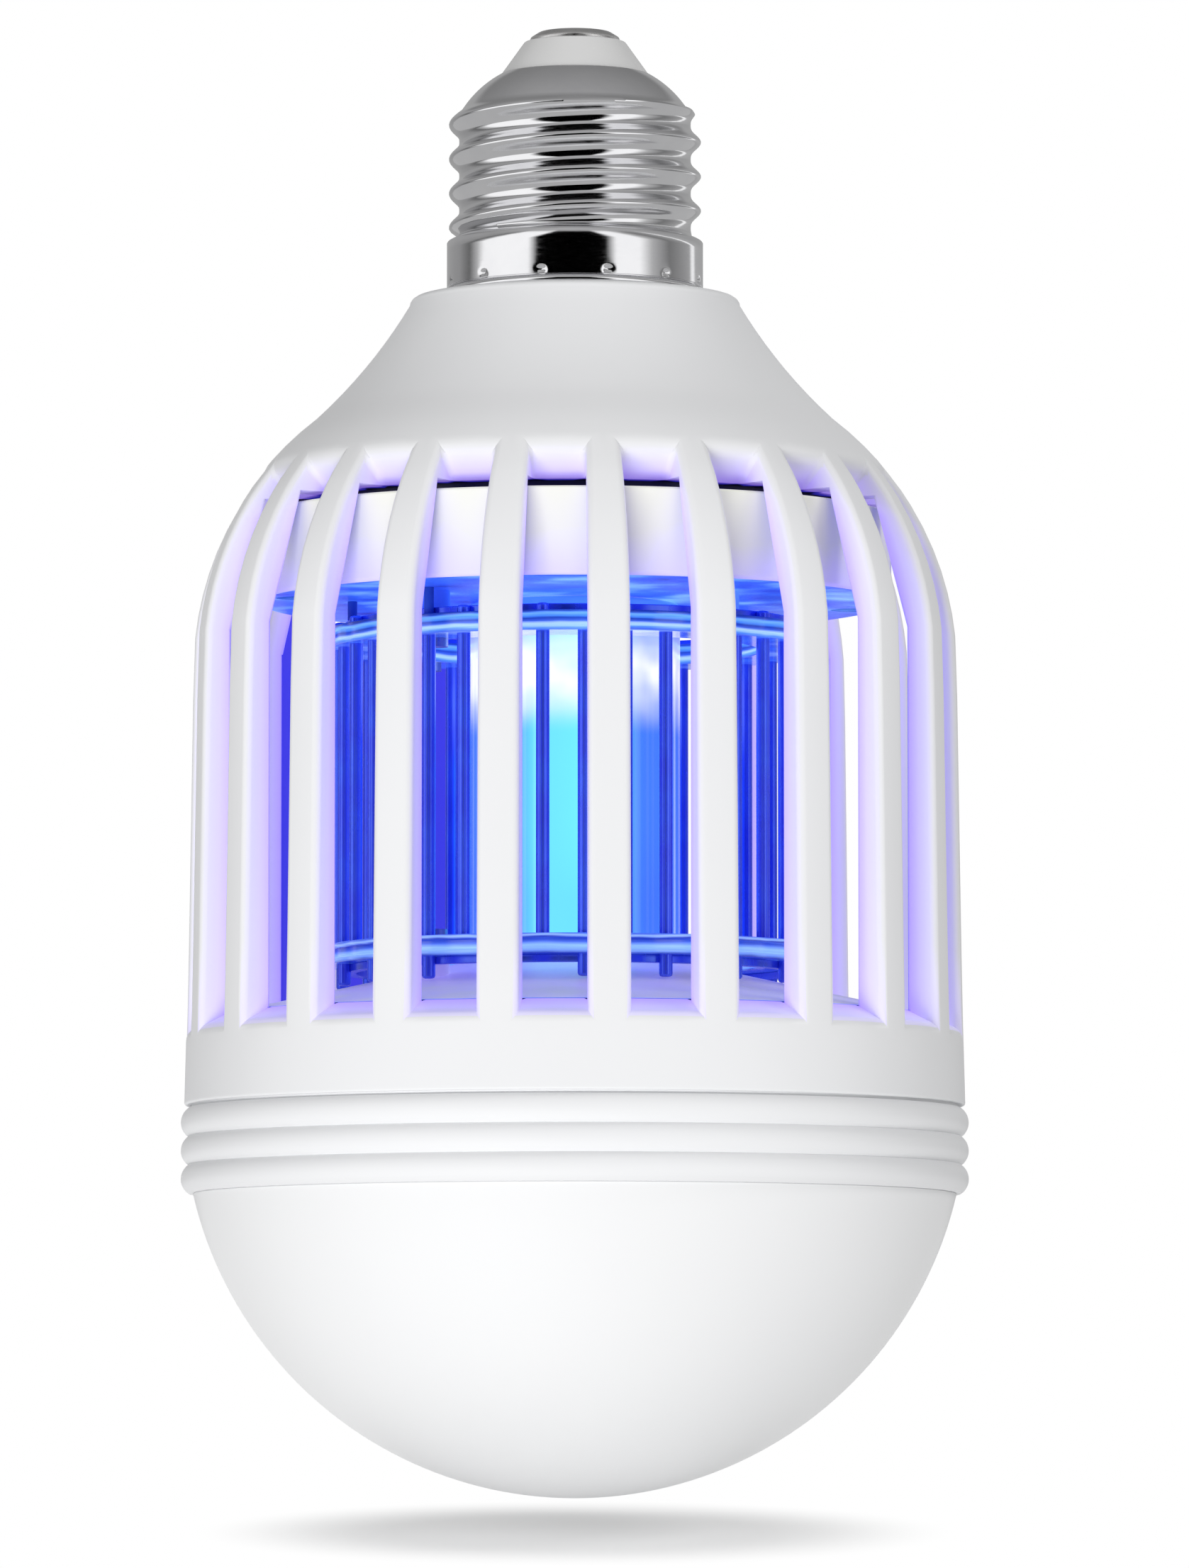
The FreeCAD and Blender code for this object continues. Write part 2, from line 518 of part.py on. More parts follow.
def light_collar():
    """Collar with three rounded beads, a spigot in the housing and a shelf for the plate."""
    body = new_body("light_collar")
    outline = []
    for bead in range(3):
        root = "-(%s + %d * bead_height)" % (COLLAR_TOP, bead)
        crest = root + " - bead_height / 2"
        outline.append((ROOT_RADIUS, root, ROOT_RADIUS + " + bead_rise", crest))
    spigot_top = "-deck_skirt_level - fit_gap"
    shelf_foot = "-shelf_level - shelf_height"
    turned(body, "beads", outline + [
        (ROOT_RADIUS, "-" + COLLAR_END), (COLLAR_BORE, "-" + COLLAR_END), (COLLAR_BORE, shelf_foot),
        (SEAT_BORE + " - shelf_width", shelf_foot), (SEAT_BORE + " - shelf_width", "-shelf_level"),
        (SEAT_BORE, "-shelf_level"), (SEAT_BORE, spigot_top), (SPIGOT_RADIUS, spigot_top),
        (SPIGOT_RADIUS, "-rim_level"), (ROOT_RADIUS + " - seam_gap", "-rim_level"),
        (ROOT_RADIUS + " - seam_gap", "-" + COLLAR_TOP)])


def light_head():
    """Aluminium plate on the collar's shelf, with light chips on its underside."""
    body = new_body("led_plate")
    edge = "%s - plate_gap" % SEAT_BORE
    turned(body, "disc", [
        ("0", "-shelf_level + plate_thickness"), (edge, "-shelf_level + plate_thickness"),
        (edge, "-shelf_level"), ("0", "-shelf_level")])
    hole = bored(body, "screw_hole", "shelf_level - plate_thickness", "shelf_level", [
        on_ring("plate_screw_ring", "60", "screw_radius + fit_gap")])
    repeated(body, "screw_holes", [hole], "plate_screw_count")
    chips = []
    for ring in ("outer", "inner"):
        for index in range(round(size(ring + "_chip_count"))):
            turn = "%d * 360 / %s_chip_count" % (index, ring)
            chips.append(box("%s_chip_%d" % (ring, index), "chip_size", "chip_size", "chip_height",
                             "%s_chip_ring * cos(%s)" % (ring, turn), "%s_chip_ring * sin(%s)" % (ring, turn),
                             "-shelf_level - chip_height"))
    grouped("led_chips", chips)


def diffuser_dome():
    """Part of a sphere with a spigot that plugs into the collar."""
    body = new_body("diffuser_dome")
    rim = "(%s - dome_inset)" % ROOT_RADIUS
    outer = "((%s ^ 2 + dome_height ^ 2) / (2 * dome_height))" % rim
    inner = "(%s - dome_wall)" % outer
    centre = "-(%s + dome_height - %s)" % (COLLAR_END, outer)
    half_way = "(asin(%s / %s) / 2)" % (rim, outer)
    spigot = "(%s - fit_gap)" % COLLAR_BORE
    spigot_bore = "(%s - fit_gap - dome_spigot_wall)" % COLLAR_BORE
    top = "-%s + dome_spigot_height" % COLLAR_END
    neck = "%s - sqrt(%s ^ 2 - %s ^ 2)" % (centre, inner, spigot_bore)
    turned(body, "cap", [
        ("0", "-%s - dome_height" % COLLAR_END,
         "%s * sin(%s)" % (outer, half_way), "%s - %s * cos(%s)" % (centre, outer, half_way)),
        (rim, "-" + COLLAR_END), (spigot, "-" + COLLAR_END), (spigot, top), (spigot_bore, top),
        (spigot_bore, neck,
         "%s * sin(%s)" % (inner, half_way), "%s - %s * cos(%s)" % (centre, inner, half_way)),
        ("0", "%s - %s" % (centre, inner))])


def fitted(text):
    """A length among the driver parts, kept in proportion to the chamber that holds them."""
    return "(%s) * %s" % (text, DRIVER_SCALE)


def driver():
    """Round board on the tray's collar, with the parts that feed the grid and both lights."""
    body = new_body("driver_board")
    board_top = "-board_level + board_thickness"
    edge = CHAMBER_RADIUS + " - board_gap"
    turned(body, "disc", [("0", board_top), (edge, board_top), (edge, "-board_level"), ("0", "-board_level")])
    window_foot = board_top + " + " + fitted("(core_height - window_height) / 2")
    frame = box("core_block", fitted("core_width"), fitted("core_depth"), fitted("core_height"),
                "0", "0", board_top)
    windows = []
    for side in (-1, 1):
        windows.append(box("core_window_%d" % (side + 1), fitted("window_width"), fitted("core_depth"),
                           fitted("window_height"), fitted("%d * (leg_width + window_width) / 2" % side),
                           "0", window_foot))
    opened = doc.addObject("Part::MultiFuse", "core_windows")
    opened.Shapes = windows
    core = doc.addObject("Part::Cut", "transformer_core")
    core.Label = "transformer_core"
    core.Base = frame
    core.Tool = opened
    pieces.append(core)
    coil = box("coil_block", fitted("leg_width + 2 * window_width") + " - 2 * fit_gap",
               fitted("winding_depth"), fitted("window_height") + " - 2 * fit_gap",
               "0", "0", window_foot + " + fit_gap")
    leg = box("coil_hole", fitted("leg_width") + " + 2 * fit_gap", fitted("core_depth") + " + 2 * fit_gap",
              fitted("window_height"), "0", "0", window_foot)
    winding = doc.addObject("Part::Cut", "transformer_winding")
    winding.Label = "transformer_winding"
    winding.Base = coil
    winding.Tool = leg
    pieces.append(winding)
    cans = []
    for side in (-1, 1):
        cans.append(round_bar("can_%d" % (side + 1), fitted("can_radius"), fitted("can_height"), "0",
                              fitted("%d * can_offset" % side), board_top))
    grouped("smoothing_capacitors", cans)
    films = []
    for side in (-1, 1):
        films.append(box("film_%d" % (side + 1), fitted("film_width"), fitted("film_depth"),
                         fitted("film_height"), fitted("%d * film_offset" % side), "0", board_top))
    grouped("film_capacitors", films)
    blocks = []
    for index in range(round(size("block_count"))):
        blocks.append(box("block_%d" % index, fitted("block_width"), fitted("block_depth"), "block_height",
                          "0", fitted("(%d - (block_count - 1) / 2) * (block_depth + block_gap)" % index),
                          "-board_level - block_height"))
    grouped("multiplier_capacitors", blocks)
    fuse = round_bar("fuse_resistor", fitted("fuse_radius"), fitted("fuse_length"),
                     fitted("fuse_offset"), fitted("-fuse_offset"), board_top)
    fuse.Label = "fuse_resistor"
    pieces.append(fuse)


def lead_path(corners, bend):
    """Straight runs joined by tangent arcs."""
    edges = []
    start = corners[0]
    for before, corner, after in zip(corners, corners[1:], corners[2:]):
        inward = (before - corner).normalize()
        onward = (after - corner).normalize()
        half_turn = (math.pi - inward.getAngle(onward)) / 2
        setback = bend * math.tan(half_turn)
        first = corner + inward * setback
        last = corner + onward * setback
        middle_way = (inward + onward).normalize()
        middle = corner + middle_way * (bend / math.cos(half_turn) - bend)
        edges.append(Part.LineSegment(start, first).toShape())
        edges.append(Part.Arc(first, middle, last).toShape())
        start = last
    edges.append(Part.LineSegment(start, corners[-1]).toShape())
    return Part.Wire(edges)


def bent_lead(name, corners, bend):
    """Insulated wire: a round section carried along a bent path."""
    path = lead_path(corners, bend)
    start = corners[0]
    ring = Part.Circle(start, corners[1] - start, size("lead_radius"))
    pipe = path.makePipe(Part.Face(Part.Wire(ring.toShape())))
    lead = doc.addObject("Part::Feature", name)
    lead.Label = name
    lead.Shape = pipe
    lead.Placement = FreeCAD.Placement()
    pieces.append(lead)


def leads():
    landing = size(fitted("lead_landing"))
    board_top = -size("board_level - board_thickness")
    bend = size("lead_bend")
    bent_lead("contact_lead", [
        FreeCAD.Vector(0, 0, -size("stem_end_level")),
        FreeCAD.Vector(0, 0, -size("lead_turn_level")),
        FreeCAD.Vector(landing, landing, -size("lead_drop_level")),
        FreeCAD.Vector(landing, landing, board_top)], bend)
    inside = -size("shell_lead_offset")
    wall = -size("thread_core_radius - shell_wall")
    solder = -size("solder_level")
    bent_lead("shell_lead", [
        FreeCAD.Vector(wall, 0, solder),
        FreeCAD.Vector(inside, 0, solder),
        FreeCAD.Vector(inside, 0, -size("lead_turn_level")),
        FreeCAD.Vector(-landing, landing, -size("lead_drop_level")),
        FreeCAD.Vector(-landing, landing, board_top)], size("3 * lead_radius"))
    straight = []
    for side in (-1, 1):
        straight.append(round_bar("light_lead_%d" % (side + 1), "lead_radius",
                                  "shelf_level - plate_thickness - board_level",
                                  "%d * light_lead_offset" % side, "0", "-shelf_level + plate_thickness"))
    grouped("light_leads", straight)
    live_end = "(grid_level - bus_thickness)"
    return_end = "(grid_level + rod_inset)"
    grid = [
        round_bar("live_lead", "lead_radius", live_end + " - board_level",
                  BUS_RING + " * cos(%s)" % LEAD_TURN, BUS_RING + " * sin(%s)" % LEAD_TURN, "-" + live_end),
        round_bar("return_lead", "lead_radius", return_end + " - board_level",
                  ROD_RING + " * cos(%s)" % RETURN_TURN, ROD_RING + " * sin(%s)" % RETURN_TURN,
                  "-" + return_end)]
    grouped("grid_leads", grid)


def check_document():
    """Stop if a feature failed or a piece came out empty or broken."""
    doc.recompute()
    for thing in doc.Objects:
        if "Invalid" in thing.State or "Error" in thing.State:
            raise RuntimeError("failed feature: %s of %s" % (thing.Name, thing.getParentGeoFeatureGroup()))
    for piece in pieces:
        if piece.Shape.isNull() or not piece.Shape.isValid():
            raise RuntimeError("broken piece: " + piece.Label)


centre_contact()
base_insulator()
screw_shell()
cage_housing()
upper_tray()
electric_grid()
fasteners()
lamp()
lower_deck()
light_collar()
light_head()
diffuser_dome()
driver()
leads()
check_document()

os.makedirs("parts", exist_ok=True)
for piece in pieces:
    piece.Shape.exportStep("parts/%s.step" % piece.Label)
print("pieces written:", len(pieces))
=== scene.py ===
import math
import bmesh
import bpy
from mathutils import Matrix, Vector


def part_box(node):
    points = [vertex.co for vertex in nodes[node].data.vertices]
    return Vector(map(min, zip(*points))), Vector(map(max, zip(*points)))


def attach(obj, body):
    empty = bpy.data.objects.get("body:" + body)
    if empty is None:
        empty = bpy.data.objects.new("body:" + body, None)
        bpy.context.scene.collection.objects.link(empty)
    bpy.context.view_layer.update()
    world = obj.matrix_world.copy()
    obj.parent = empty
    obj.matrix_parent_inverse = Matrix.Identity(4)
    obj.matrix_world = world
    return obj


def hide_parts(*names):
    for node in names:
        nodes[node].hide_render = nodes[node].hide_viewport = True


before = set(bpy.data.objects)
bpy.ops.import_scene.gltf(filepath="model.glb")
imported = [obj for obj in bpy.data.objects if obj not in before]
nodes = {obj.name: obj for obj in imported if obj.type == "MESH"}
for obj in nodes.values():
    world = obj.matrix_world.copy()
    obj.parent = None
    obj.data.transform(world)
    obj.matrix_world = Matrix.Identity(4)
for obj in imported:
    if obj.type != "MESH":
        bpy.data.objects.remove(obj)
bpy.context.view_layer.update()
print("frame loaded:", len(nodes), "nodes")

# Sizes below are in millimetres. A level is a distance below the contact's end face.
mm = 0.001
root = "root"


def spanOf(name):
    # outer radius, top level and bottom level of a CAD piece
    low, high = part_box(name)
    return high.x / mm, -high.z / mm, -low.z / mm


def spot(radius, level, turn=0.0):
    # a place in the frame from a radius, a level and a turn in degrees from +X
    angle = math.radians(turn)
    return Vector((radius * math.cos(angle), radius * math.sin(angle), -level)) * mm


# outlines

def roundCorners(corners, steps=4):
    # corners are (radius, level) or (radius, level, fillet); each fillet becomes a short arc
    points = []
    for index, corner in enumerate(corners):
        here = Vector(corner[:2])
        if len(corner) == 2:
            points.append(here)
            continue
        toBefore = (Vector(corners[index - 1][:2]) - here).normalized()
        toAfter = (Vector(corners[(index + 1) % len(corners)][:2]) - here).normalized()
        half = toBefore.angle(toAfter) / 2
        centre = here + (toBefore + toAfter).normalized() * corner[2] / math.sin(half)
        first = here + toBefore * corner[2] / math.tan(half) - centre
        last = here + toAfter * corner[2] / math.tan(half) - centre
        sweep = first.angle_signed(last)
        for step in range(steps + 1):
            turn = -sweep * step / steps
            points.append(centre + Vector((first.x * math.cos(turn) - first.y * math.sin(turn),
                                           first.x * math.sin(turn) + first.y * math.cos(turn))))
    return [(point.x, point.y) for point in points]


def arcCircle(start, middle, stop):
    # centre and radius of the circle through three outline points
    (ax, ay), (bx, by), (cx, cy) = start, middle, stop
    d = 2 * (ax * (by - cy) + bx * (cy - ay) + cx * (ay - by))
    a, b, c = ax * ax + ay * ay, bx * bx + by * by, cx * cx + cy * cy
    x = (a * (by - cy) + b * (cy - ay) + c * (ay - by)) / d
    y = (a * (cx - bx) + b * (ax - cx) + c * (bx - ax)) / d
    return x, y, math.hypot(ax - x, ay - y)


def arcRadius(start, middle, stop, level):
    # radius of a curved outline at a level
    x, y, r = arcCircle(start, middle, stop)
    side = 1 if middle[0] > x else -1
    return x + side * math.sqrt(max(r * r - (level - y) ** 2, 0))


def spread(first, last, count):
    # evenly spaced numbers, both ends included
    return [first + (last - first) * index / count for index in range(count + 1)]


# meshes

def newPiece(name, data):
    piece = bpy.data.objects.new(name, data)
    bpy.context.scene.collection.objects.link(piece)
    return piece


def smoothFaces(mesh, sharpAngle=35):
    mesh.shade_smooth()
    mesh.set_sharp_from_angle(angle=math.radians(sharpAngle))


def turnedMesh(name, outline, columns=128):
    # a closed outline carried once round the axis; points on the axis become one pole
    shape = bmesh.new()
    rings = []
    for radius, level in outline:
        if radius < 1e-4:
            rings.append([shape.verts.new(spot(0, level))])
        else:
            rings.append([shape.verts.new(spot(radius, level, 360 * k / columns)) for k in range(columns)])
    for index, ring in enumerate(rings):
        other = rings[(index + 1) % len(rings)]
        for k in range(columns):
            corners = [ring[k % len(ring)], ring[(k + 1) % len(ring)],
                       other[(k + 1) % len(other)], other[k % len(other)]]
            corners = list(dict.fromkeys(corners))
            if len(corners) > 2:
                shape.faces.new(corners)
    bmesh.ops.recalc_face_normals(shape, faces=shape.faces)
    mesh = bpy.data.meshes.new(name)
    shape.to_mesh(mesh)
    shape.free()
    smoothFaces(mesh)
    return mesh


def joined(name, meshes):
    # several meshes of one piece as one mesh
    shape = bmesh.new()
    for mesh in meshes:
        shape.from_mesh(mesh)
    whole = bpy.data.meshes.new(name)
    shape.to_mesh(whole)
    shape.free()
    smoothFaces(whole)
    return whole


# node trees

def fill(tree, node, inputs):
    # feeds a node's inputs by index or label: an output is linked, anything else is set
    for key, value in inputs.items():
        socket = node.inputs[key if isinstance(key, int) else key.replace("_", " ")]
        if isinstance(value, bpy.types.NodeSocket):
            tree.links.new(value, socket)
        elif socket.type == "RGBA" and len(value) == 3:
            socket.default_value = (*value, 1)
        else:
            socket.default_value = value
    return node.outputs[0] if node.outputs else None


def addNode(tree, kind, *inputs, **labelled):
    # a new node, fed by order and then by label; gives its first output
    return fill(tree, tree.nodes.new(kind), {**dict(enumerate(inputs)), **labelled})


def calculator(tree):
    # makes Math nodes in a tree; a value is a number or an output
    def calc(operation, *values):
        node = tree.nodes.new("ShaderNodeMath")
        node.operation = operation
        return fill(tree, node, dict(enumerate(values)))
    return calc


def rangeNode(tree, value, low, high, first=0, last=1, kind="SMOOTHSTEP"):
    # carries a value from one range to another, eased unless told otherwise
    node = tree.nodes.new("ShaderNodeMapRange")
    node.interpolation_type = kind
    return fill(tree, node, {"Value": value, "From Min": low, "From Max": high, "To Min": first, "To Max": last})


def mixNode(tree, kind, factor, first, last, blend="MIX"):
    # a mix of two colours or of two numbers
    node = tree.nodes.new("ShaderNodeMix")
    node.data_type, node.blend_type = kind, blend
    slot, output = (6, 2) if kind == "RGBA" else (2, 0)
    fill(tree, node, {0: factor, slot: first, slot + 1: last})
    return node.outputs[output]


def objectPlace(tree):
    return tree.nodes.new("ShaderNodeTexCoord").outputs["Object"]


def axesOf(tree, place):
    # x, y and z of a place
    node = tree.nodes.new("ShaderNodeSeparateXYZ")
    tree.links.new(place, node.inputs[0])
    return node.outputs


def newTree(name, inputs):
    tree = bpy.data.node_groups.new(name, "GeometryNodeTree")
    for label, kind in {"Geometry": "Geometry", **inputs, "Finish": "Material"}.items():
        tree.interface.new_socket(label, in_out="INPUT", socket_type="NodeSocket" + kind)
    tree.interface.new_socket("Geometry", in_out="OUTPUT", socket_type="NodeSocketGeometry")
    return tree, tree.nodes.new("NodeGroupInput").outputs


def endTree(tree, given, mesh):
    # the mesh takes the given finish and leaves the tree
    finished = addNode(tree, "GeometryNodeSetMaterial", Geometry=mesh, Material=given["Finish"])
    addNode(tree, "NodeGroupOutput", finished)
    return tree


def baked(piece):
    # the piece's mesh with its modifiers applied; the piece goes
    depsgraph = bpy.context.evaluated_depsgraph_get()
    mesh = bpy.data.meshes.new_from_object(piece.evaluated_get(depsgraph))
    bpy.data.objects.remove(piece)
    return mesh


def bakedTree(name, mesh, tree, values):
    # the mesh as the tree makes it, as one plain mesh
    piece = newPiece(name, mesh)
    pattern = piece.modifiers.new("pattern", "NODES")
    pattern.node_group = tree
    for item in tree.interface.items_tree:
        if item.item_type == "SOCKET" and item.in_out == "INPUT" and item.name in values:
            pattern[item.identifier] = values[item.name]
    return baked(piece)


def ringTree():
    # repeats the given mesh evenly round the axis
    tree, given = newTree("ringOfPieces", {"Count": "Int", "First turn": "Float", "Weld distance": "Float"})
    calc = calculator(tree)
    points = addNode(tree, "GeometryNodeMeshLine", Count=given["Count"], Offset=(0, 0, 0))
    share = calc("DIVIDE", addNode(tree, "GeometryNodeInputIndex"), given["Count"])
    turn = calc("MULTIPLY_ADD", share, math.tau, given["First turn"])
    copies = addNode(tree, "GeometryNodeInstanceOnPoints", Points=points, Instance=given["Geometry"],
                     Rotation=addNode(tree, "ShaderNodeCombineXYZ", Z=turn))
    whole = addNode(tree, "GeometryNodeRealizeInstances", copies)
    welded = addNode(tree, "GeometryNodeMergeByDistance", Geometry=whole, Distance=given["Weld distance"])
    return endTree(tree, given, welded)


ringOfPieces = ringTree()


def ringMesh(mesh, count, turn, finish, weld=0.0001):
    # the mesh repeated round the axis
    return bakedTree(mesh.name + "Ring", mesh, ringOfPieces, {
        "Count": count, "First turn": math.radians(turn), "Weld distance": weld * mm, "Finish": finish})


def settle(name, mesh, finish, slotName, *replaced):
    # the finished piece: one material, even shading, riding on the body
    mesh.materials.clear()
    mesh.materials.append(finish)
    piece = newPiece(name, mesh)
    even = piece.modifiers.new("evenShading", "WEIGHTED_NORMAL")
    even.keep_sharp = True
    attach(piece, root)
    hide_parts(*replaced)


# finishes

def baseFinish(name, look):
    # one principled shader with colour drift, uneven gloss and a fine grain, all on Object coordinates
    material = bpy.data.materials.new(name)
    material.use_nodes = True
    tree = material.node_tree
    shader = tree.nodes["Principled BSDF"]
    place = objectPlace(tree)
    stretched = addNode(tree, "ShaderNodeMapping", place, Scale=look.get("stretch", (1, 1, 1)))
    drift = addNode(tree, "ShaderNodeTexNoise", place, Scale=look.get("driftScale", 60), Detail=3)
    grain = addNode(tree, "ShaderNodeTexNoise", stretched, Scale=look.get("grainScale", 2500),
                    Detail=4, Roughness=0.6)
    tint = mixNode(tree, "RGBA", drift, look["colour"], look["otherColour"])
    fill(tree, shader, {
        "Base Color": tint, "Metallic": look.get("metal", 0), "IOR": 1.46,
        "Coat Weight": look.get("coat", 0), "Coat Roughness": 0.1,
        "Roughness": rangeNode(tree, grain, 0.3, 0.7, *look["roughness"], "LINEAR"),
        "Normal": addNode(tree, "ShaderNodeBump", Height=grain, Strength=look.get("bump", 0.3),
                          Distance=look.get("bumpDepth", 0.02) * mm)})
    return material, tree, shader, tint


def plainFinish(name, colour, otherColour, roughness, rest=()):
    return baseFinish(name, {"colour": colour, "otherColour": otherColour, "roughness": roughness, **dict(rest)})[0]


def rampNode(tree, factor, stops):
    # a colour ramp through (position, colour) stops
    node = tree.nodes.new("ShaderNodeValToRGB")
    ramp = node.color_ramp
    for index, (position, colour) in enumerate(stops):
        stop = ramp.elements[index] if index < 2 else ramp.elements.new(position)
        stop.position = position
        stop.color = (*colour, 1)
    return fill(tree, node, {0: factor})


def paintedLightFinish(name, look):
    # a finish whose colour and light follow the piece's painted light and shade: the lamp's light painted into
    # colour and emission, and painted shade, unevenly where the look says so
    material, tree, shader, tint = baseFinish(name, look)
    calc = calculator(tree)
    paintedLight = tree.nodes.new("ShaderNodeAttribute")
    paintedLight.attribute_name = "paintedLight"
    factor = paintedLight.outputs["Fac"]
    if "waver" in look:
        stretched = addNode(tree, "ShaderNodeMapping", objectPlace(tree), Scale=look["waverStretch"])
        cloud = addNode(tree, "ShaderNodeTexNoise", stretched, Scale=look["waverScale"], Detail=2)
        factor = calc("ADD", factor, calc("MULTIPLY", calc("SUBTRACT", cloud, 0.5), look["waver"]))
    fill(tree, shader, {
        "Base Color": mixNode(tree, "RGBA", 1, tint, rampNode(tree, factor, look["colourAndPaintedLightStops"]), "MULTIPLY"),
        "Emission Color": rampNode(tree, factor, look["lightStops"]), "Emission Strength": 1})
    return material


# painted light value: 0 is the outer skin, 0.6 the inner end of a slot, 0.85 the bore that faces the lamp, 1 the
# dark chamber; the lavender and blue between are the lamp's light painted into colour and emission, and the near
# black at 1 is painted shade
whiteHousing = {
    "colour": (0.845, 0.85, 0.86), "otherColour": (0.82, 0.825, 0.84), "roughness": (0.36, 0.48),
    "grainScale": 3200, "bump": 0.25,
    "colourAndPaintedLightStops": [
        (0, (1, 1, 1)), (0.3, (0.83, 0.79, 1)), (0.6, (0.70, 0.62, 1)), (0.8, (0.15, 0.12, 0.75)),
        (0.9, (0.12, 0.10, 0.65)), (1, (0.02, 0.02, 0.045))],
    "lightStops": [
        (0, (0, 0, 0)), (0.12, (0.08, 0.075, 0.12)), (0.35, (0.17, 0.14, 0.36)),
        (0.6, (0.18, 0.11, 0.54)), (0.8, (0.02, 0.015, 0.30)), (0.9, (0.015, 0.012, 0.24)),
        (1, (0, 0, 0.003))],
}
housingFinish = paintedLightFinish("whiteHousing", whiteHousing)

# colour, other colour, roughness and what else the look needs
plainLooks = {
    "opalDome": ((0.865, 0.87, 0.875), (0.845, 0.85, 0.86), (0.30, 0.38),
                 {"grainScale": 4200, "bump": 0.12, "bumpDepth": 0.01}),
    "whiteInsulator": ((0.74, 0.74, 0.735), (0.70, 0.70, 0.70), (0.16, 0.28),
                       {"grainScale": 1800, "bump": 0.2, "coat": 0.3}),
    "platedSleeve": ((0.80, 0.80, 0.81), (0.70, 0.70, 0.72), (0.05, 0.12), {
        "metal": 1.0, "driftScale": 300, "grainScale": 900, "stretch": (1, 1, 6), "bump": 0.10, "bumpDepth": 0.01}),
    "contactMetal": ((0.68, 0.675, 0.67), (0.56, 0.555, 0.55), (0.22, 0.42),
                     {"metal": 1.0, "driftScale": 400, "grainScale": 1500, "bump": 0.35}),
    # the screws' blue is the lamp's blue light painted onto their steel
    "screwSteel": ((0.34, 0.42, 0.66), (0.24, 0.30, 0.52), (0.25, 0.4),
                   {"metal": 1.0, "grainScale": 1600, "bump": 0.3}),
    # the rods' blue is the lamp's blue light painted onto their steel
    "gridSteel": ((0.10, 0.26, 1.0), (0.09, 0.09, 0.78), (0.16, 0.30), {
        "metal": 0.62, "driftScale": 220, "grainScale": 1400, "stretch": (1, 1, 0.1), "bump": 0.12}),
}
opalFinish, insulatorFinish, platedFinish, contactFinish, screwFinish, rodFinish = [
    plainFinish(name, *look) for name, look in plainLooks.items()]

# painted light value: 0 is white, 0.5 lavender, 0.85 the blue over the lamp, 1 the dark chamber; the white already
# carries a little painted light, lavender and blue are the lamp's light painted into colour and emission, and the
# dark chamber is painted shade, all moved at random by the waver noise
innerPlastic = {
    "colour": (0.82, 0.825, 0.83), "otherColour": (0.79, 0.795, 0.81), "roughness": (0.3, 0.42),
    "grainScale": 2600, "bump": 0.2, "waver": 0.32, "waverScale": 130, "waverStretch": (1, 1, 0.5),
    "colourAndPaintedLightStops": [
        (0, (1, 1, 0.93)), (0.3, (0.96, 0.96, 0.90)), (0.6, (0.74, 0.72, 1)), (0.82, (0.10, 0.2, 0.85)),
        (0.9, (0.06, 0.12, 0.8)), (0.96, (0.02, 0.02, 0.06))],
    "lightStops": [
        (0, (0.125, 0.132, 0.06)), (0.3, (0.115, 0.12, 0.07)), (0.6, (0.20, 0.15, 0.46)),
        (0.78, (0.16, 0.38, 0.80)), (0.85, (0.02, 0.09, 0.52)), (0.91, (0.01, 0.03, 0.30)),
        (0.97, (0.001, 0.001, 0.006))],
}
innerFinish = paintedLightFinish("innerPlastic", innerPlastic)

# painted light value: 0 to 0.5 runs down the upper ring, 0.5 to 1 down the lower one; over the ring's own blue the
# bright lips are painted highlights and the dark bands painted shade, in colour and emission, moved at random by the
# waver noise
gridPlastic = {
    "colour": (0.80, 0.82, 0.90), "otherColour": (0.70, 0.74, 0.86), "roughness": (0.12, 0.25),
    "grainScale": 1500, "bump": 0.15, "coat": 0.5, "waver": 0.16, "waverScale": 130, "waverStretch": (1, 1, 2.5),
    "colourAndPaintedLightStops": [
        (0, (0.01, 0.03, 0.25)), (0.1, (0.1, 0.3, 0.8)), (0.22, (0.02, 0.08, 0.4)), (0.4, (0.3, 0.5, 1)),
        (0.5, (0.1, 0.2, 0.6)), (0.62, (0.02, 0.05, 0.4)), (0.8, (0.3, 0.5, 0.9)), (1, (0.02, 0.06, 0.4))],
    "lightStops": [
        (0, (0.002, 0.008, 0.10)), (0.05, (0.003, 0.015, 0.16)), (0.10, (0.12, 0.32, 0.70)),
        (0.17, (0.05, 0.20, 0.60)), (0.22, (0.004, 0.02, 0.20)), (0.28, (0.01, 0.05, 0.32)),
        (0.33, (0.36, 0.54, 0.85)), (0.39, (0.30, 0.50, 0.85)), (0.44, (0.03, 0.17, 0.65)),
        (0.50, (0.02, 0.06, 0.40)), (0.55, (0.30, 0.48, 0.85)), (0.60, (0.006, 0.02, 0.24)),
        (0.70, (0.01, 0.05, 0.40)), (0.80, (0.20, 0.38, 0.75)), (0.93, (0.16, 0.30, 0.72)),
        (1, (0.006, 0.02, 0.22))],
}
ringFinish = paintedLightFinish("gridPlastic", gridPlastic)
print("finishes made")


# screw base

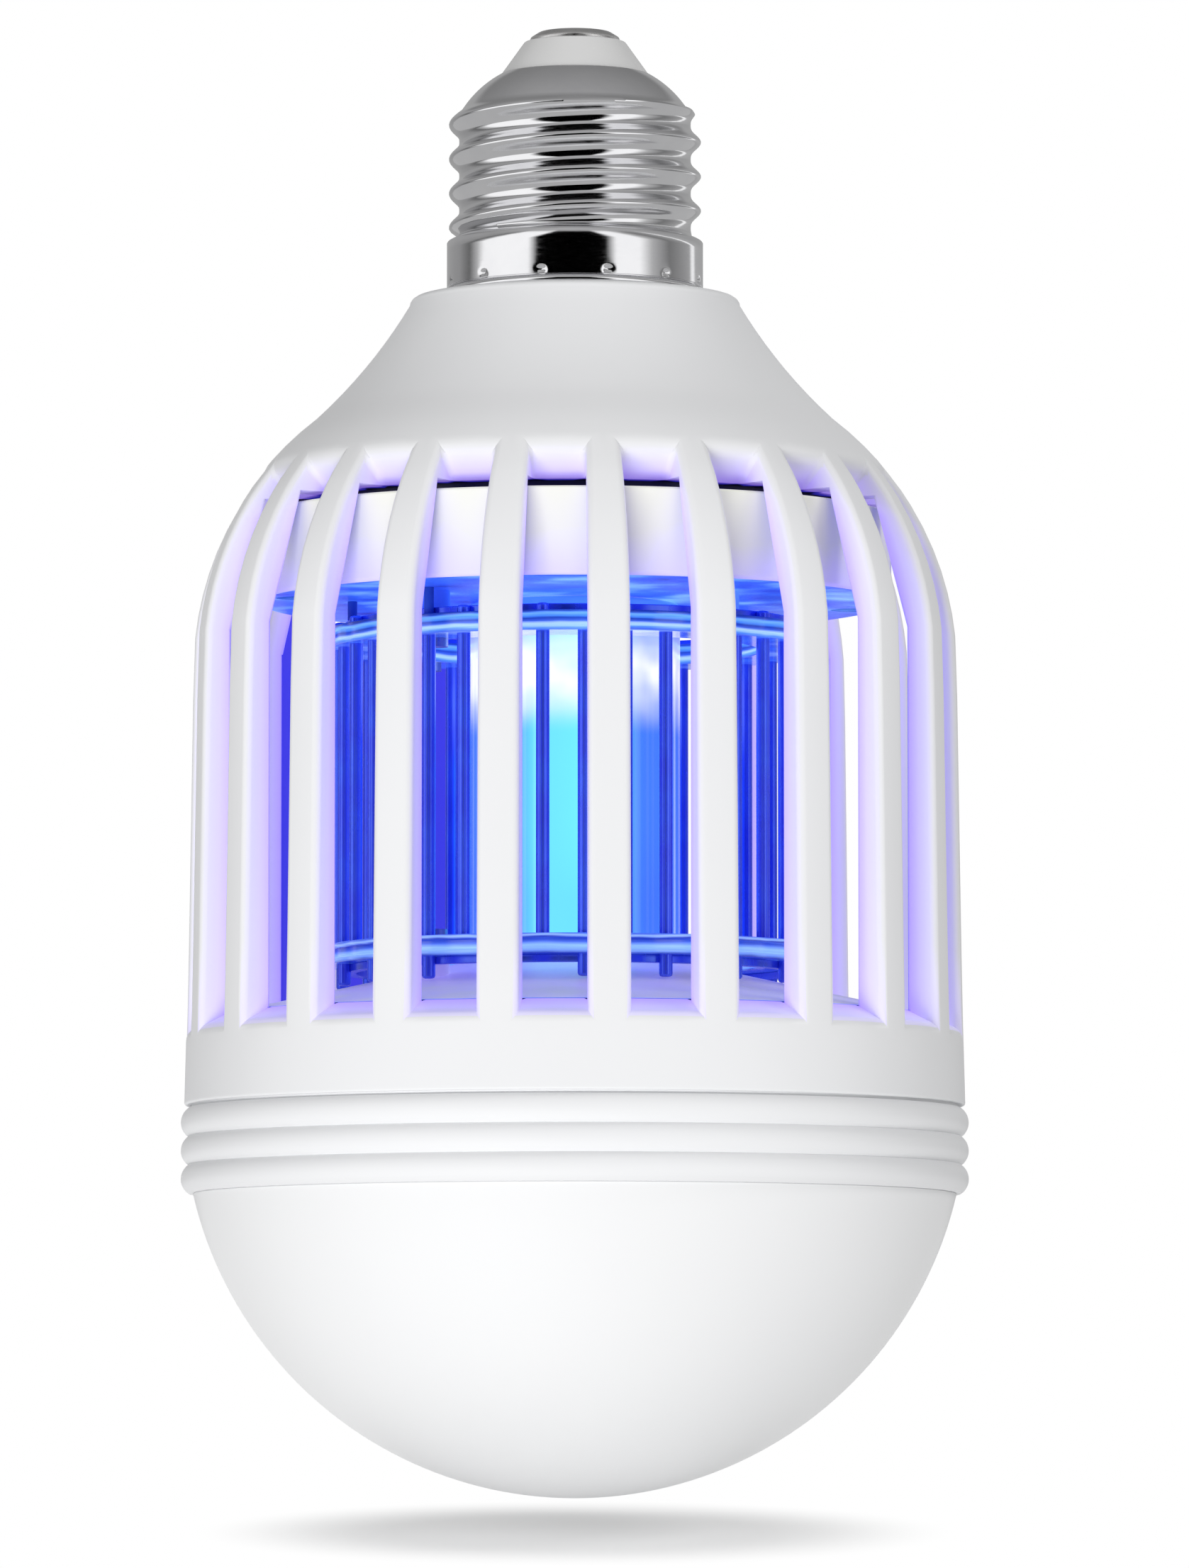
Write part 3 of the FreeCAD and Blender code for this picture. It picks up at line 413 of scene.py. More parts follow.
# an outline's points are radius, level and fillet
contactRadius, contactEnd = spanOf("centre_contact")[::2]
centreContact = {"columns": 72, "outline": [
    (0, 0), (3.8 * 0.72, 0.02, 1.2), (3.8, 0.18, 0.5), (contactRadius, 0.75, 0.3), (contactRadius, 1.2, 0.1),
    (1.2, 1.2), (1.2, contactEnd), (0, contactEnd)]}
flangeRadius, insulatorEnd = spanOf("base_insulator")[::2]
baseInsulator = {"columns": 96, "outline": [
    (1.3, 1.2), (5.3, 1.2, 0.35), (7.8, 4.7, 0.6), (7.8, 4.7 + 0.7), (flangeRadius, 7.0),
    (flangeRadius, insulatorEnd), (1.3, insulatorEnd)]}


def makeTurned(name, size, finish, slotName, nodeName):
    settle(name, turnedMesh(name, roundCorners(size["outline"]), size["columns"]), finish, slotName, nodeName)


screwShell = {
    "lip": (7.9, 4.7), "bulge": (10.65, 6.85), "core": (12.15, 8.9), "coreEnd": 21.7,
    "skirt": (spanOf("screw_shell")[0], 22.5), "skirtEnd": spanOf("screw_shell")[2],
    "skirtRows": (23.4, 24.4, 25.4), "dimpleTop": 26.0, "dimpleFoot": 1.06, "dimpleRows": 11,
    "groove": 0.1, "grooveRows": (0.99, 0.93), "footRound": (0.3, 0.44), "footMiddle": 0.46, "slack": 0.02,
    "wall": 0.4, "columns": 300, "rowStep": 0.2, "shoulderRows": 14, "flareRows": 6,
    "pitch": 3.63, "ridge": 1.08, "firstCrest": 9.95, "ridgeStart": 7.9, "ridgeEnd": 22.2, "runOut": 1.3,
    "dimples": 12, "dimpleTurn": 15.0, "dimpleLevel": 26.7, "dimpleRadius": 0.42, "dimpleDepth": 0.28,
    "dimpleFall": 1.6, "crestSharpness": 1.6, "plainWithin": 0.985,
}


def threadTree(size):
    # pushes an upright wall out along a right-handed helix, and pokes a ring of dimples into its skirt
    tree, given = newTree("rolledThread", {})
    calc = calculator(tree)
    x, y, z = axesOf(tree, addNode(tree, "GeometryNodeInputPosition"))
    level = calc("MULTIPLY", z, -1 / mm)
    angle = calc("ARCTAN2", y, x)
    distance = calc("DIVIDE", calc("SQRT", calc("ADD", calc("MULTIPLY", x, x), calc("MULTIPLY", y, y))), mm)
    climb = calc("MULTIPLY", calc("SUBTRACT", math.pi, angle), 1 / math.tau)
    rise = calc("DIVIDE", calc("SUBTRACT", level, size["firstCrest"]), size["pitch"])
    wave = calc("COSINE", calc("MULTIPLY", calc("SUBTRACT", rise, climb), math.tau))
    ridge = calc("POWER", calc("MULTIPLY_ADD", wave, 0.5, 0.5), size["crestSharpness"])
    begun = rangeNode(tree, level, size["ridgeStart"], size["ridgeStart"] + size["runOut"])
    ended = rangeNode(tree, level, size["ridgeEnd"] - size["runOut"], size["ridgeEnd"], 1, 0)
    # the inner wall stays plain
    outer = calc("GREATER_THAN", distance, size["core"][0] * size["plainWithin"])
    push = calc("MULTIPLY", calc("MULTIPLY", ridge, size["ridge"]),
                calc("MULTIPLY", begun, calc("MULTIPLY", ended, outer)))
    half = math.pi / size["dimples"]
    offTurn = calc("WRAP", calc("SUBTRACT", angle, math.radians(size["dimpleTurn"] - 90)), half, -half)
    across = calc("MULTIPLY", offTurn, distance)
    along = calc("SUBTRACT", level, size["dimpleLevel"])
    away = calc("ADD", calc("MULTIPLY", across, across), calc("MULTIPLY", along, along))
    dent = calc("EXPONENT", calc("MULTIPLY", away, -size["dimpleFall"] / size["dimpleRadius"] ** 2))
    dent = calc("MULTIPLY", calc("MULTIPLY", dent, size["dimpleDepth"]), outer)
    grow = calc("DIVIDE", calc("SUBTRACT", push, dent), distance)
    offset = addNode(tree, "ShaderNodeCombineXYZ", calc("MULTIPLY", x, grow), calc("MULTIPLY", y, grow))
    moved = addNode(tree, "GeometryNodeSetPosition", Geometry=given["Geometry"], Offset=offset)
    return endTree(tree, given, addNode(tree, "GeometryNodeRealizeInstances", moved))


def makeScrewShell(size):
    lip, bulge, core = size["lip"], size["bulge"], size["core"]
    coreRadius, coreLevel = core
    coreEnd, wall = size["coreEnd"], size["wall"]
    skirtRadius, skirtLevel = size["skirt"]
    outline = [(arcRadius(lip, bulge, core, level), level)
               for level in spread(lip[1], coreLevel, size["shoulderRows"])]
    rows = round((coreEnd - coreLevel) / size["rowStep"])
    outline += [(coreRadius, level) for level in spread(coreLevel, coreEnd, rows)[1:]]
    for share in spread(0, 1, size["flareRows"])[1:]:
        ease = share * share * (3 - 2 * share)
        outline.append((coreRadius + (skirtRadius - coreRadius) * ease, coreEnd + (skirtLevel - coreEnd) * share))
    foot = size["skirtEnd"] - size["slack"]
    levels = [*size["skirtRows"], *spread(size["dimpleTop"], foot - size["dimpleFoot"], size["dimpleRows"])]
    outline += [(skirtRadius, level) for level in levels]
    # a fine groove above the rolled foot
    rim = skirtRadius - size["slack"]
    outline += [(rim - size["groove"], foot - row) for row in size["grooveRows"]]
    depth, reach = size["footRound"]
    outline += [(rim - depth + depth * math.cos(math.radians(turn)),
                 foot - size["footMiddle"] - reach * math.sin(math.radians(-turn)))
                for turn in range(-75, 76, 25)]
    outline += [(skirtRadius - wall, foot), (skirtRadius - wall, skirtLevel),
                (coreRadius - wall, coreEnd), (coreRadius - wall, coreLevel),
                (bulge[0] - wall, bulge[1] + wall / 2), (lip[0], lip[1] + 1.4 * wall)]
    blank = turnedMesh("screwSleeve", outline, size["columns"])
    mesh = bakedTree("sleeveBlank", blank, threadTree(size), {"Finish": platedFinish})
    smoothFaces(mesh, 50)
    settle("screwSleeve", mesh, platedFinish, "plated_shell", "screw_shell")


makeTurned("centreContact", centreContact, contactFinish, "contact_metal", "centre_contact")
makeTurned("baseInsulator", baseInsulator, insulatorFinish, "white_insulator", "base_insulator")
makeScrewShell(screwShell)
print("screw base made")


# cage housing

cageHousing = {
    "slots": 22, "slotAngle": 10.06, "firstTurn": 5.18,
    "neck": (17.34, 29.2), "flare": (21.575, 35.3), "shoulder": (27.2, 41.35), "bulge": (35.5, 50.8),
    "cage": (39.9, 65.7), "band": (40.4, 101.3), "rim": (spanOf("cage_housing")[0], 113.0),
    "neckRound": 0.9, "neckLevel": 28.3, "bore": 37.1, "boreLevel": 64.0, "ledge": (33.4, 50.3),
    "roof": 29.9, "floorLevel": 103.67, "floorAngle": 27.0, "chamber": (28.0, 45.0),
    "throat": (11.2, 29.0), "spigotBore": 10.15, "spigotTop": 12.0, "spigot": 11.65,
    "skirtSpigot": 12.93, "edgeRound": 1.3, "ribRound": 0.62, "cornerRound": 0.5, "innerRound": 0.25,
    "rimRound": 0.2, "neckTurns": (0, 22.5, 45, 67.5), "roofSteps": (1.2, 0.6, 0), "slotFoot": 105.9,
    "bandLevels": (107.4, 109.2, 111.0, 112.5), "seatLevel": 108.6, "throatFoot": 28.1,
    "spigotFoot": 22.05, "skirtTop": 22.75,
}


def housingRadius(size, level):
    # outer radius of the moulding at a level
    if level <= size["shoulder"][1]:
        return arcRadius(size["neck"], size["flare"], size["shoulder"], level)
    if level <= size["cage"][1]:
        return arcRadius(size["shoulder"], size["bulge"], size["cage"], level)
    for first, last in ((size["cage"], size["band"]), (size["band"], size["rim"])):
        if level <= last[1] + 1e-6:
            share = (level - first[1]) / (last[1] - first[1])
            return first[0] + (last[0] - first[0]) * share


def slotEnds(size):
    # levels at which the sloped roof and floor of a slot leave the outer surface
    roof = size["ledge"][1]
    while housingRadius(size, roof) - size["roof"] > size["ledge"][1] - roof:
        roof -= 0.01
    depth = housingRadius(size, size["slotFoot"]) - size["bore"]
    floor = size["floorLevel"] + depth * math.tan(math.radians(size["floorAngle"]))
    return roof, floor


def cageSector(size):
    # one slot with half a rib at either side
    roofLevel, floorLevel = slotEnds(size)
    ledgeRadius, ledge = size["ledge"]
    shut, bore, rim, neck = size["floorLevel"], size["bore"], size["rim"], size["neck"]
    half, gap = 180 / size["slots"], size["slotAngle"] / 2
    turns = [-half, -gap, -gap / 2, 0, gap / 2, gap, half]
    ribs, slot = (turns[:2], turns[-2:]), turns[1:-1]
    shape = bmesh.new()
    made = {}
    rounding = shape.edges.layers.float.new("bevel_weight_edge")

    def corner(radius, level, turn):
        key = (round(radius, 3), round(level, 3), round(turn, 3))
        if key not in made:
            made[key] = shape.verts.new(spot(radius, level, turn))
        return made[key]

    def patch(*corners):
        shape.faces.new(list(dict.fromkeys(corners)))

    def strip(outline, columns):
        # outline points joined across the given turns
        for first, last in zip(outline, outline[1:]):
            for a, b in zip(columns, columns[1:]):
                patch(corner(*first, a), corner(*first, b), corner(*last, b), corner(*last, a))

    def rounded(first, last, weight):
        edge = shape.edges.get((first, last))
        if edge:
            edge[rounding] = weight

    neckArc = [(neck[0] - size["neckRound"] * (1 - math.sin(math.radians(t))),
                neck[1] - size["neckRound"] * math.cos(math.radians(t))) for t in size["neckTurns"]]
    shoulderLevel = size["shoulder"][1]
    top = neckArc + [(housingRadius(size, level), level) for level in
                     spread(neck[1], shoulderLevel, 9) + spread(shoulderLevel, roofLevel, 4)[1:]]
    strip(top, turns)
    # ribs between the slots
    levels = spread(roofLevel, ledge, 2) + spread(ledge, size["boreLevel"], 6)[1:]
    levels += spread(size["boreLevel"], shut, 6)[1:]
    outside = [(housingRadius(size, level), level) for level in levels + [floorLevel]]
    for columns in ribs:
        strip(outside, columns)
    # lower band
    band = [(housingRadius(size, level), level) for level in (floorLevel, *size["bandLevels"])]
    strip(band + [rim, (bore, rim[1])], turns)
    # bore, tapered below the ledge
    inside = []
    for level in levels[2:]:
        share = min((level - ledge) / (size["boreLevel"] - ledge), 1)
        inside.append((ledgeRadius + (bore - ledgeRadius) * share, level))
    for columns in ribs:
        strip(inside, columns)
    strip([(bore, shut), (bore, size["seatLevel"]), (bore, rim[1])], turns)
    # roof and floor of the slot
    roof = [outside[0]] + [(size["roof"] + step, ledge - step) for step in size["roofSteps"]]
    strip(roof, slot)
    strip([outside[-1], (bore, shut)], slot)
    # ledge over the tray, then the driver chamber, throat and spigot
    for columns in ribs:
        strip([(ledgeRadius, ledge), roof[-1]], columns)
    strip([roof[-1], (size["chamber"][0], ledge), size["chamber"], size["throat"],
           (size["spigotBore"], size["throatFoot"]), (size["spigotBore"], size["spigotTop"]),
           (size["spigot"], size["spigotTop"]), (size["spigot"], size["spigotFoot"]),
           (size["skirtSpigot"], size["skirtTop"]), (size["skirtSpigot"], size["neckLevel"]),
           neckArc[0]], turns)
    # side walls of the slot
    for turn in (-gap, gap):
        patch(*[corner(*point, turn) for point in outside[:3] + inside[:1] + roof[:0:-1]])
        for index in range(len(inside) - 1):
            patch(corner(*outside[index + 2], turn), corner(*outside[index + 3], turn),
                  corner(*inside[index + 1], turn), corner(*inside[index], turn))
        patch(corner(*outside[-2], turn), corner(*outside[-1], turn), corner(*inside[-1], turn))
        for line, weight in ((outside, "ribRound"), (inside, "innerRound"), (roof, "cornerRound")):
            for first, last in zip(line, line[1:]):
                rounded(corner(*first, turn), corner(*last, turn), size[weight])
    for a, b in zip(slot, slot[1:]):
        rounded(corner(*outside[0], a), corner(*outside[0], b), 1.0)
        rounded(corner(*outside[-1], a), corner(*outside[-1], b), size["ribRound"])
    for a, b in zip(turns, turns[1:]):
        rounded(corner(*rim, a), corner(*rim, b), size["rimRound"])
    mesh = bpy.data.meshes.new("cageSector")
    shape.to_mesh(mesh)
    shape.free()
    return mesh


def within(share):
    # a number held between 0 and 1
    return min(max(share, 0), 1)


def glowing(mesh, rule):
    # writes the painted light and shade value at every face corner from a rule of radius, level and how far the face
    # looks outward
    layer = mesh.attributes.new("paintedLight", "FLOAT", "CORNER")
    values = []
    for face in mesh.polygons:
        for index in face.vertices:
            place = mesh.vertices[index].co
            radius = math.hypot(place.x, place.y)
            outward = (face.normal.x * place.x + face.normal.y * place.y) / max(radius, 1e-6)
            values.append(rule(radius / mm, -place.z / mm, outward))
    layer.data.foreach_set("value", values)
    return mesh


# outward is 1 where a face looks away from the axis and -1 where it looks at it
# how the lamp's light and the chamber's shade are painted into the housing
slotLight = {
    "inner": 0.6, "bore": 0.85, "boreOutward": -0.8, "chamberTop": 33, "chamberOutward": 0.3, "above": 8,
    "foot": 107.0, "skin": 0.3, "sill": 0.22, "sideOutward": 0.85, "roofOutward": 0.25,
    "roofPower": 1.6, "power": 0.75,
}


def makeCageHousing(size, shine):
    mesh = ringMesh(cageSector(size), size["slots"], size["firstTurn"], housingFinish, 0.002)
    shape = bmesh.new()
    shape.from_mesh(mesh)
    bmesh.ops.recalc_face_normals(shape, faces=shape.faces)
    shape.to_mesh(mesh)
    shape.free()
    mesh.name = "cageHousing"
    smoothFaces(mesh, 40)
    piece = newPiece("housingBlank", mesh)
    edge = piece.modifiers.new("edges", "BEVEL")
    edge.limit_method = "WEIGHT"
    edge.width = size["edgeRound"] * mm
    edge.segments = 4
    edge.use_clamp_overlap = False
    rounded = baked(piece)
    smoothFaces(rounded, 40)
    ledgeRadius, ledge = size["ledge"]
    skin = shine["skin"]

    def slotGlow(radius, level, outward):
        # painted lamp light that rises from the skin to the inner end of a slot, the lamp's painted blue on the
        # bore, and painted shade in the dark chamber
        if radius < size["roof"] - skin:
            return 1.0 if level > shine["chamberTop"] and outward < shine["chamberOutward"] else 0.0
        if not ledge - shine["above"] < level < shine["foot"]:
            return 0.0
        if outward < shine["boreOutward"]:
            return shine["bore"]
        inRoof = level < ledge + 0.05
        taper = within((level - ledge) / (size["boreLevel"] - ledge))
        inner = size["roof"] if inRoof else ledgeRadius + (size["bore"] - ledgeRadius) * taper
        outer = housingRadius(size, min(level, size["rim"][1]))
        share = within((outer - radius - skin) / (outer - inner - skin))
        # the slot floor always gets a little painted light, which lifts the shade on its rounded edge
        if level > size["floorLevel"] - 0.1 and abs(outward) < shine["sideOutward"]:
            share = max(share, shine["sill"])
        bent = inRoof and abs(outward) > shine["roofOutward"]
        return shine["inner"] * share ** (shine["roofPower"] if bent else shine["power"])

    glowing(rounded, slotGlow)
    settle("cageHousing", rounded, housingFinish, "white_housing", "cage_housing")


makeCageHousing(cageHousing, slotLight)
print("cage housing made")


# tray, grid, lamp and deck

upperTray = {
    "rim": spanOf("upper_tray")[0], "top": 51.3, "floor": 60.45, "wall": 1.5, "edge": 0.5,
    "collar": 27.9, "collarWall": 1.6, "collarTop": 48.85, "postEnd": 63.3, "columnRing": 29.8, "columnRadius": 3.0,
    "columnTop": 50.35, "columns": 2, "columnTurn": 5.18 + 180 / 22,
    # the wall's painted lamp light rises from glowFrom over glowOver; footGlow is the lamp's painted blue, darkGlow
    # painted shade
    "wallGlow": (0.1, 0.5), "glowFrom": 57.0, "glowOver": 3.4, "footGlow": 0.85, "darkGlow": 1.2,
}


# the tray's and the deck's posts stand in line
ringPosts = {"ring": 21.1, "radius": 1.5, "count": 4, "turn": 47.2}


def upright(name, ring, radius, top, foot, edge=0.15, columns=24):
    # a round post standing on a ring at +X
    outline = roundCorners([(0, top), (radius, top, edge), (radius, foot, edge), (0, foot)], 2)
    mesh = turnedMesh(name, outline, columns)
    mesh.transform(Matrix.Translation((ring * mm, 0, 0)))
    return mesh


def postMesh(name, top, foot, size):
    post = upright(name, size["ring"], size["radius"], top, foot)
    return ringMesh(post, size["count"], size["turn"], innerFinish)


def makeUpperTray(size):
    floorTop = size["floor"] - size["wall"]
    inner = size["rim"] - size["wall"]
    pan = turnedMesh("upperTray", roundCorners([
        (0, floorTop), (size["collar"] - size["collarWall"], floorTop, 0.3),
        (size["collar"] - size["collarWall"], size["collarTop"]), (size["collar"], size["collarTop"]),
        (size["collar"], floorTop, 0.3), (inner, floorTop, 0.5), (inner, size["top"], 0.3),
        (size["rim"], size["top"], 0.3), (size["rim"], size["floor"], size["edge"]), (0, size["floor"])]), 176)
    posts = postMesh("trayPost", size["floor"] - 0.1, size["postEnd"], ringPosts)
    column = upright("trayColumn", size["columnRing"], size["columnRadius"], size["columnTop"], floorTop)
    mesh = joined("upperTray", [
        pan, posts, ringMesh(column, size["columns"], size["columnTurn"], innerFinish)])

    def trayGlow(radius, level, outward):
        # painted lamp light rising up the outer wall and its rim, the lamp's painted blue on the foot over the lamp,
        # then painted shade on all that lies in the dark
        first, more = size["wallGlow"]
        if radius > inner + 0.1 and (outward > 0.4 or (level < size["top"] + 0.4 and outward > -0.5)):
            return first + more * within((level - size["glowFrom"]) / size["glowOver"]) ** 2
        return size["footGlow"] if level > size["floor"] - 0.2 else size["darkGlow"]

    glowing(mesh, trayGlow)
    settle("upperTray", mesh, innerFinish, "inner_plastic", "upper_tray")


gridRings = {"bore": 19.4, "lip": 0.45, "lipSlope": 0.15, "lipDepth": 0.35, "edge": 0.12}


def makeGridRing(name, nodeName, first, size):
    # a band with a raised lip along both edges; its painted highlight and shade bands run down from the given first
    # value
    radius, top, foot = spanOf(nodeName)
    bore, lip, slope, edge = size["bore"], size["lip"], size["lipSlope"], size["edge"]
    deep, hollow = radius - size["lipDepth"], bore + size["lipDepth"]
    mesh = turnedMesh(name, roundCorners([
        (bore, top, edge), (radius, top, edge), (radius, top + lip, edge),
        (deep, top + lip + slope), (deep, foot - lip - slope), (radius, foot - lip, edge),
        (radius, foot, edge), (bore, foot, edge), (bore, foot - lip, edge),
        (hollow, foot - lip - slope), (hollow, top + lip + slope), (bore, top + lip, edge)], 3), 176)
    glowing(mesh, lambda r, level, outward: first + 0.5 * (level - top) / (foot - top))
    settle(name, mesh, ringFinish, "grid_plastic", nodeName)


wireGrids = {"rodRing": 24.5, "rodRadius": 0.7, "rods": 18, "firstTurn": 2.4, "busRadius": 23.4,
             "busWidth": 1.2, "busThickness": 0.8, "busEdge": 0.1, "otherTurn": 10}


def makeWireGrid(name, nodeName, busTop, turn, size):
    # upright rods with rounded ends, welded to a flat ring
    radius, top, foot = spanOf(nodeName)
    rod = upright("rod", size["rodRing"], size["rodRadius"], top, foot, 0.3, 16)
    inner, outer = size["busRadius"] - size["busWidth"] / 2, size["busRadius"] + size["busWidth"] / 2
    busFoot, edge = busTop + size["busThickness"], size["busEdge"]
    bus = turnedMesh("bus", roundCorners([
        (inner, busTop, edge), (outer, busTop, edge), (outer, busFoot, edge), (inner, busFoot, edge)], 2), 144)
    mesh = joined(name, [ringMesh(rod, size["rods"], turn, rodFinish), bus])
    settle(name, mesh, rodFinish, "grid_steel", nodeName)


makeUpperTray(upperTray)
makeGridRing("gridTopRing", "grid_top_ring", 0.0, gridRings)
makeGridRing("gridBottomRing", "grid_bottom_ring", 0.5, gridRings)
ringLevels = spanOf("grid_top_ring")[1], spanOf("grid_bottom_ring")[2]
firstTurn = wireGrids["firstTurn"]
makeWireGrid("liveGrid", "live_grid", ringLevels[0] - wireGrids["busThickness"], firstTurn, wireGrids)
makeWireGrid("returnGrid", "return_grid", ringLevels[1], firstTurn + wireGrids["otherTurn"], wireGrids)
print("grid made")


lampTube = {
    "radius": spanOf("lamp_tube")[0], "top": spanOf("lamp_tube")[1], "foot": spanOf("lamp_tube")[2],
    "wall": 0.9, "edge": 0.3,
    "cyan": (0.16, 0.74, 0.90), "blue": (0.05, 0.13, 0.85), "hot": (1.0, 0.97, 0.98),
    "hotLevel": 68.4, "hotReach": 6.5, "hotGain": 2.2, "cloudScale": 160,
    "topLevel": 63.2, "topFade": 1.5, "faceEdge": (0.30, 0.66),
    "glass": {"colour": (0.05, 0.30, 0.60), "otherColour": (0.04, 0.22, 0.55), "roughness": (0.04, 0.1),
              "grainScale": 700, "bump": 0.05, "coat": 0.4},
}


def lampFinish(size):
    # clear tube lit from within: cyan over the chip board's faces, deep blue at its edges, hottest near the top
    material, tree, shader, tint = baseFinish("lampClear", size["glass"])
    calc = calculator(tree)
    place = objectPlace(tree)
    x, y, z = axesOf(tree, place)
    face = rangeNode(tree, calc("DIVIDE", calc("ABSOLUTE", x), size["radius"] * mm), *size["faceEdge"])
    head = rangeNode(tree, z, (-size["topLevel"] - size["topFade"]) * mm, -size["topLevel"] * mm)
    hue = mixNode(tree, "RGBA", calc("MAXIMUM", face, head), size["cyan"], size["blue"])
    gap = calc("ABSOLUTE", calc("ADD", z, size["hotLevel"] * mm))
    heat = rangeNode(tree, gap, 0, size["hotReach"] * mm, 1, 0)
    cloud = addNode(tree, "ShaderNodeTexNoise", place, Scale=size["cloudScale"], Detail=2)
    hot = calc("MULTIPLY", calc("MULTIPLY", heat, cloud), size["hotGain"])
    fill(tree, shader, {"Emission Color": mixNode(tree, "RGBA", hot, hue, size["hot"]), "Emission Strength": 1})
    return material


def makeLampTube(size):
    inner = size["radius"] - size["wall"]
    edge = size["edge"]
    mesh = turnedMesh("lampTube", roundCorners([
        (inner, size["top"], edge), (size["radius"], size["top"], edge),
        (size["radius"], size["foot"], edge), (inner, size["foot"], edge)], 3), 96)
    settle("lampTube", mesh, lampFinish(size), "lamp_clear", "lamp_tube")


lowerDeck = {
    "topRadius": 12.0, "top": 98.2, "edgeRadius": spanOf("lower_deck")[0], "edgeLevel": 103.67,
    # the deck's painted lamp light: its value at the middle, how much it falls by the edge and the skirt's value;
    # seamGlow is the width of painted shade at the seam
    "skirtEnd": spanOf("lower_deck")[2], "wall": 1.6, "seam": 0.7, "seamGlow": 0.35, "paintedLight": (0.57, 0.22, 0.1),
    "postTop": 98.46, "postFoot": 100.9,
}


def makeLowerDeck(size):
    wall, seam, edgeRadius, edgeLevel = size["wall"], size["seam"], size["edgeRadius"], size["edgeLevel"]
    topRadius, top, skirtEnd = size["topRadius"], size["top"], size["skirtEnd"]
    slope = (edgeLevel - top) / (edgeRadius - topRadius)
    cone = turnedMesh("lowerDeck", roundCorners([
        (0, top), (topRadius, top, 0.8), (edgeRadius - seam, edgeLevel - seam * slope),
        (edgeRadius, edgeLevel, 0.3), (edgeRadius, skirtEnd, 0.2), (edgeRadius - wall, skirtEnd, 0.2),
        (edgeRadius - wall, edgeLevel + wall), (topRadius, top + wall), (0, top + wall)]), 176)
    mesh = joined("lowerDeck", [cone, postMesh("deckPost", size["postTop"], size["postFoot"], ringPosts)])

    def deckGlow(radius, level, outward):
        # painted shade along the seam, the deck's outer edge and outer skirt; lavender painted lamp light over the
        # deck, paler toward its edge; little on the skirt's inside
        near, fall, plain = size["paintedLight"]
        if radius > edgeRadius - size["seamGlow"]:
            return 1.0
        return near - fall * min(radius / edgeRadius, 1) if level < edgeLevel + 0.4 else plain

    glowing(mesh, deckGlow)
    settle("lowerDeck", mesh, innerFinish, "inner_plastic", "lower_deck")


makeLampTube(lampTube)
makeLowerDeck(lowerDeck)
print("lamp and deck made")


# collar and dome

lightCollar = {
    "root": 40.27, "crest": spanOf("light_collar")[0], "top": 113.3, "bead": 2.95, "beads": 3, "beadSteps": 10,
    "bore": 38.2, "seatBore": 35.0, "spigot": 36.9, "spigotTop": 109.1, "shelf": 33.0, "shelfLevel": 114.8,
    "shelfFoot": 116.4, "seam": 0.3,
}


def makeLightCollar(size):
    outline = []
    inset, top, bead = size["root"], size["top"], size["bead"]
    for index in range(size["beads"]):
        start = top + index * bead
        x, y, radius = arcCircle((inset, start), (size["crest"], start + bead / 2), (inset, start + bead))
        reach = math.asin(min(bead / 2 / radius, 1))
        for step in range(size["beadSteps"] + 1):
            turn = -reach + 2 * reach * step / size["beadSteps"]
            if step or not index:
                outline.append((x + radius * math.cos(turn), y + radius * math.sin(turn)))
    seam, shelf, spigot = size["seam"], size["shelf"], size["spigot"]
    outline += [(size["bore"], top + size["beads"] * bead), (size["bore"], size["shelfFoot"]),
                (shelf, size["shelfFoot"]), (shelf, size["shelfLevel"]), (size["seatBore"], size["shelfLevel"]),
                (size["seatBore"], size["spigotTop"]), (spigot, size["spigotTop"]), (spigot, top - seam),
                (inset - seam, top - seam), (inset - seam, top)]
    mesh = glowing(turnedMesh("lightCollar", outline, 200), lambda radius, level, outward: 0.0)
    settle("lightCollar", mesh, housingFinish, "white_housing", "light_collar")


diffuserDome = {
    "rim": 39.78, "rimLevel": 122.15, "bottom": spanOf("diffuser_dome")[2], "wall": 1.5,
    "spigot": 38.1, "spigotTop": 118.15, "spigotWall": 1.4, "steps": 44, "edge": 0.25,
    "lip": ((0.03, 0.08), (0.12, 0)),
}


def makeDiffuserDome(size):
    rim, rimLevel, spigot = size["rim"], size["rimLevel"], size["spigot"]
    height = size["bottom"] - rimLevel
    outer = (rim ** 2 + height ** 2) / (2 * height)
    centre, inner = size["bottom"] - outer, outer - size["wall"]
    reach = math.asin(rim / outer) - size["edge"] / outer
    bore = spigot - size["spigotWall"]
    outline = [(outer * math.sin(turn), centre + outer * math.cos(turn)) for turn in spread(0, reach, size["steps"])]
    outline += [(rim - inward, rimLevel + lower) for inward, lower in size["lip"]]
    outline += [(spigot, rimLevel), (spigot, size["spigotTop"]), (bore, size["spigotTop"])]
    outline += [(inner * math.sin(turn), centre + inner * math.cos(turn))
                for turn in spread(math.asin(bore / inner), 0, size["steps"] // 2)]
    settle("diffuserDome", turnedMesh("diffuserDome", outline, 176), opalFinish, "opal_dome", "diffuser_dome")


makeLightCollar(lightCollar)
makeDiffuserDome(diffuserDome)
print("collar and dome made")


# the pieces that stay as the CAD made them

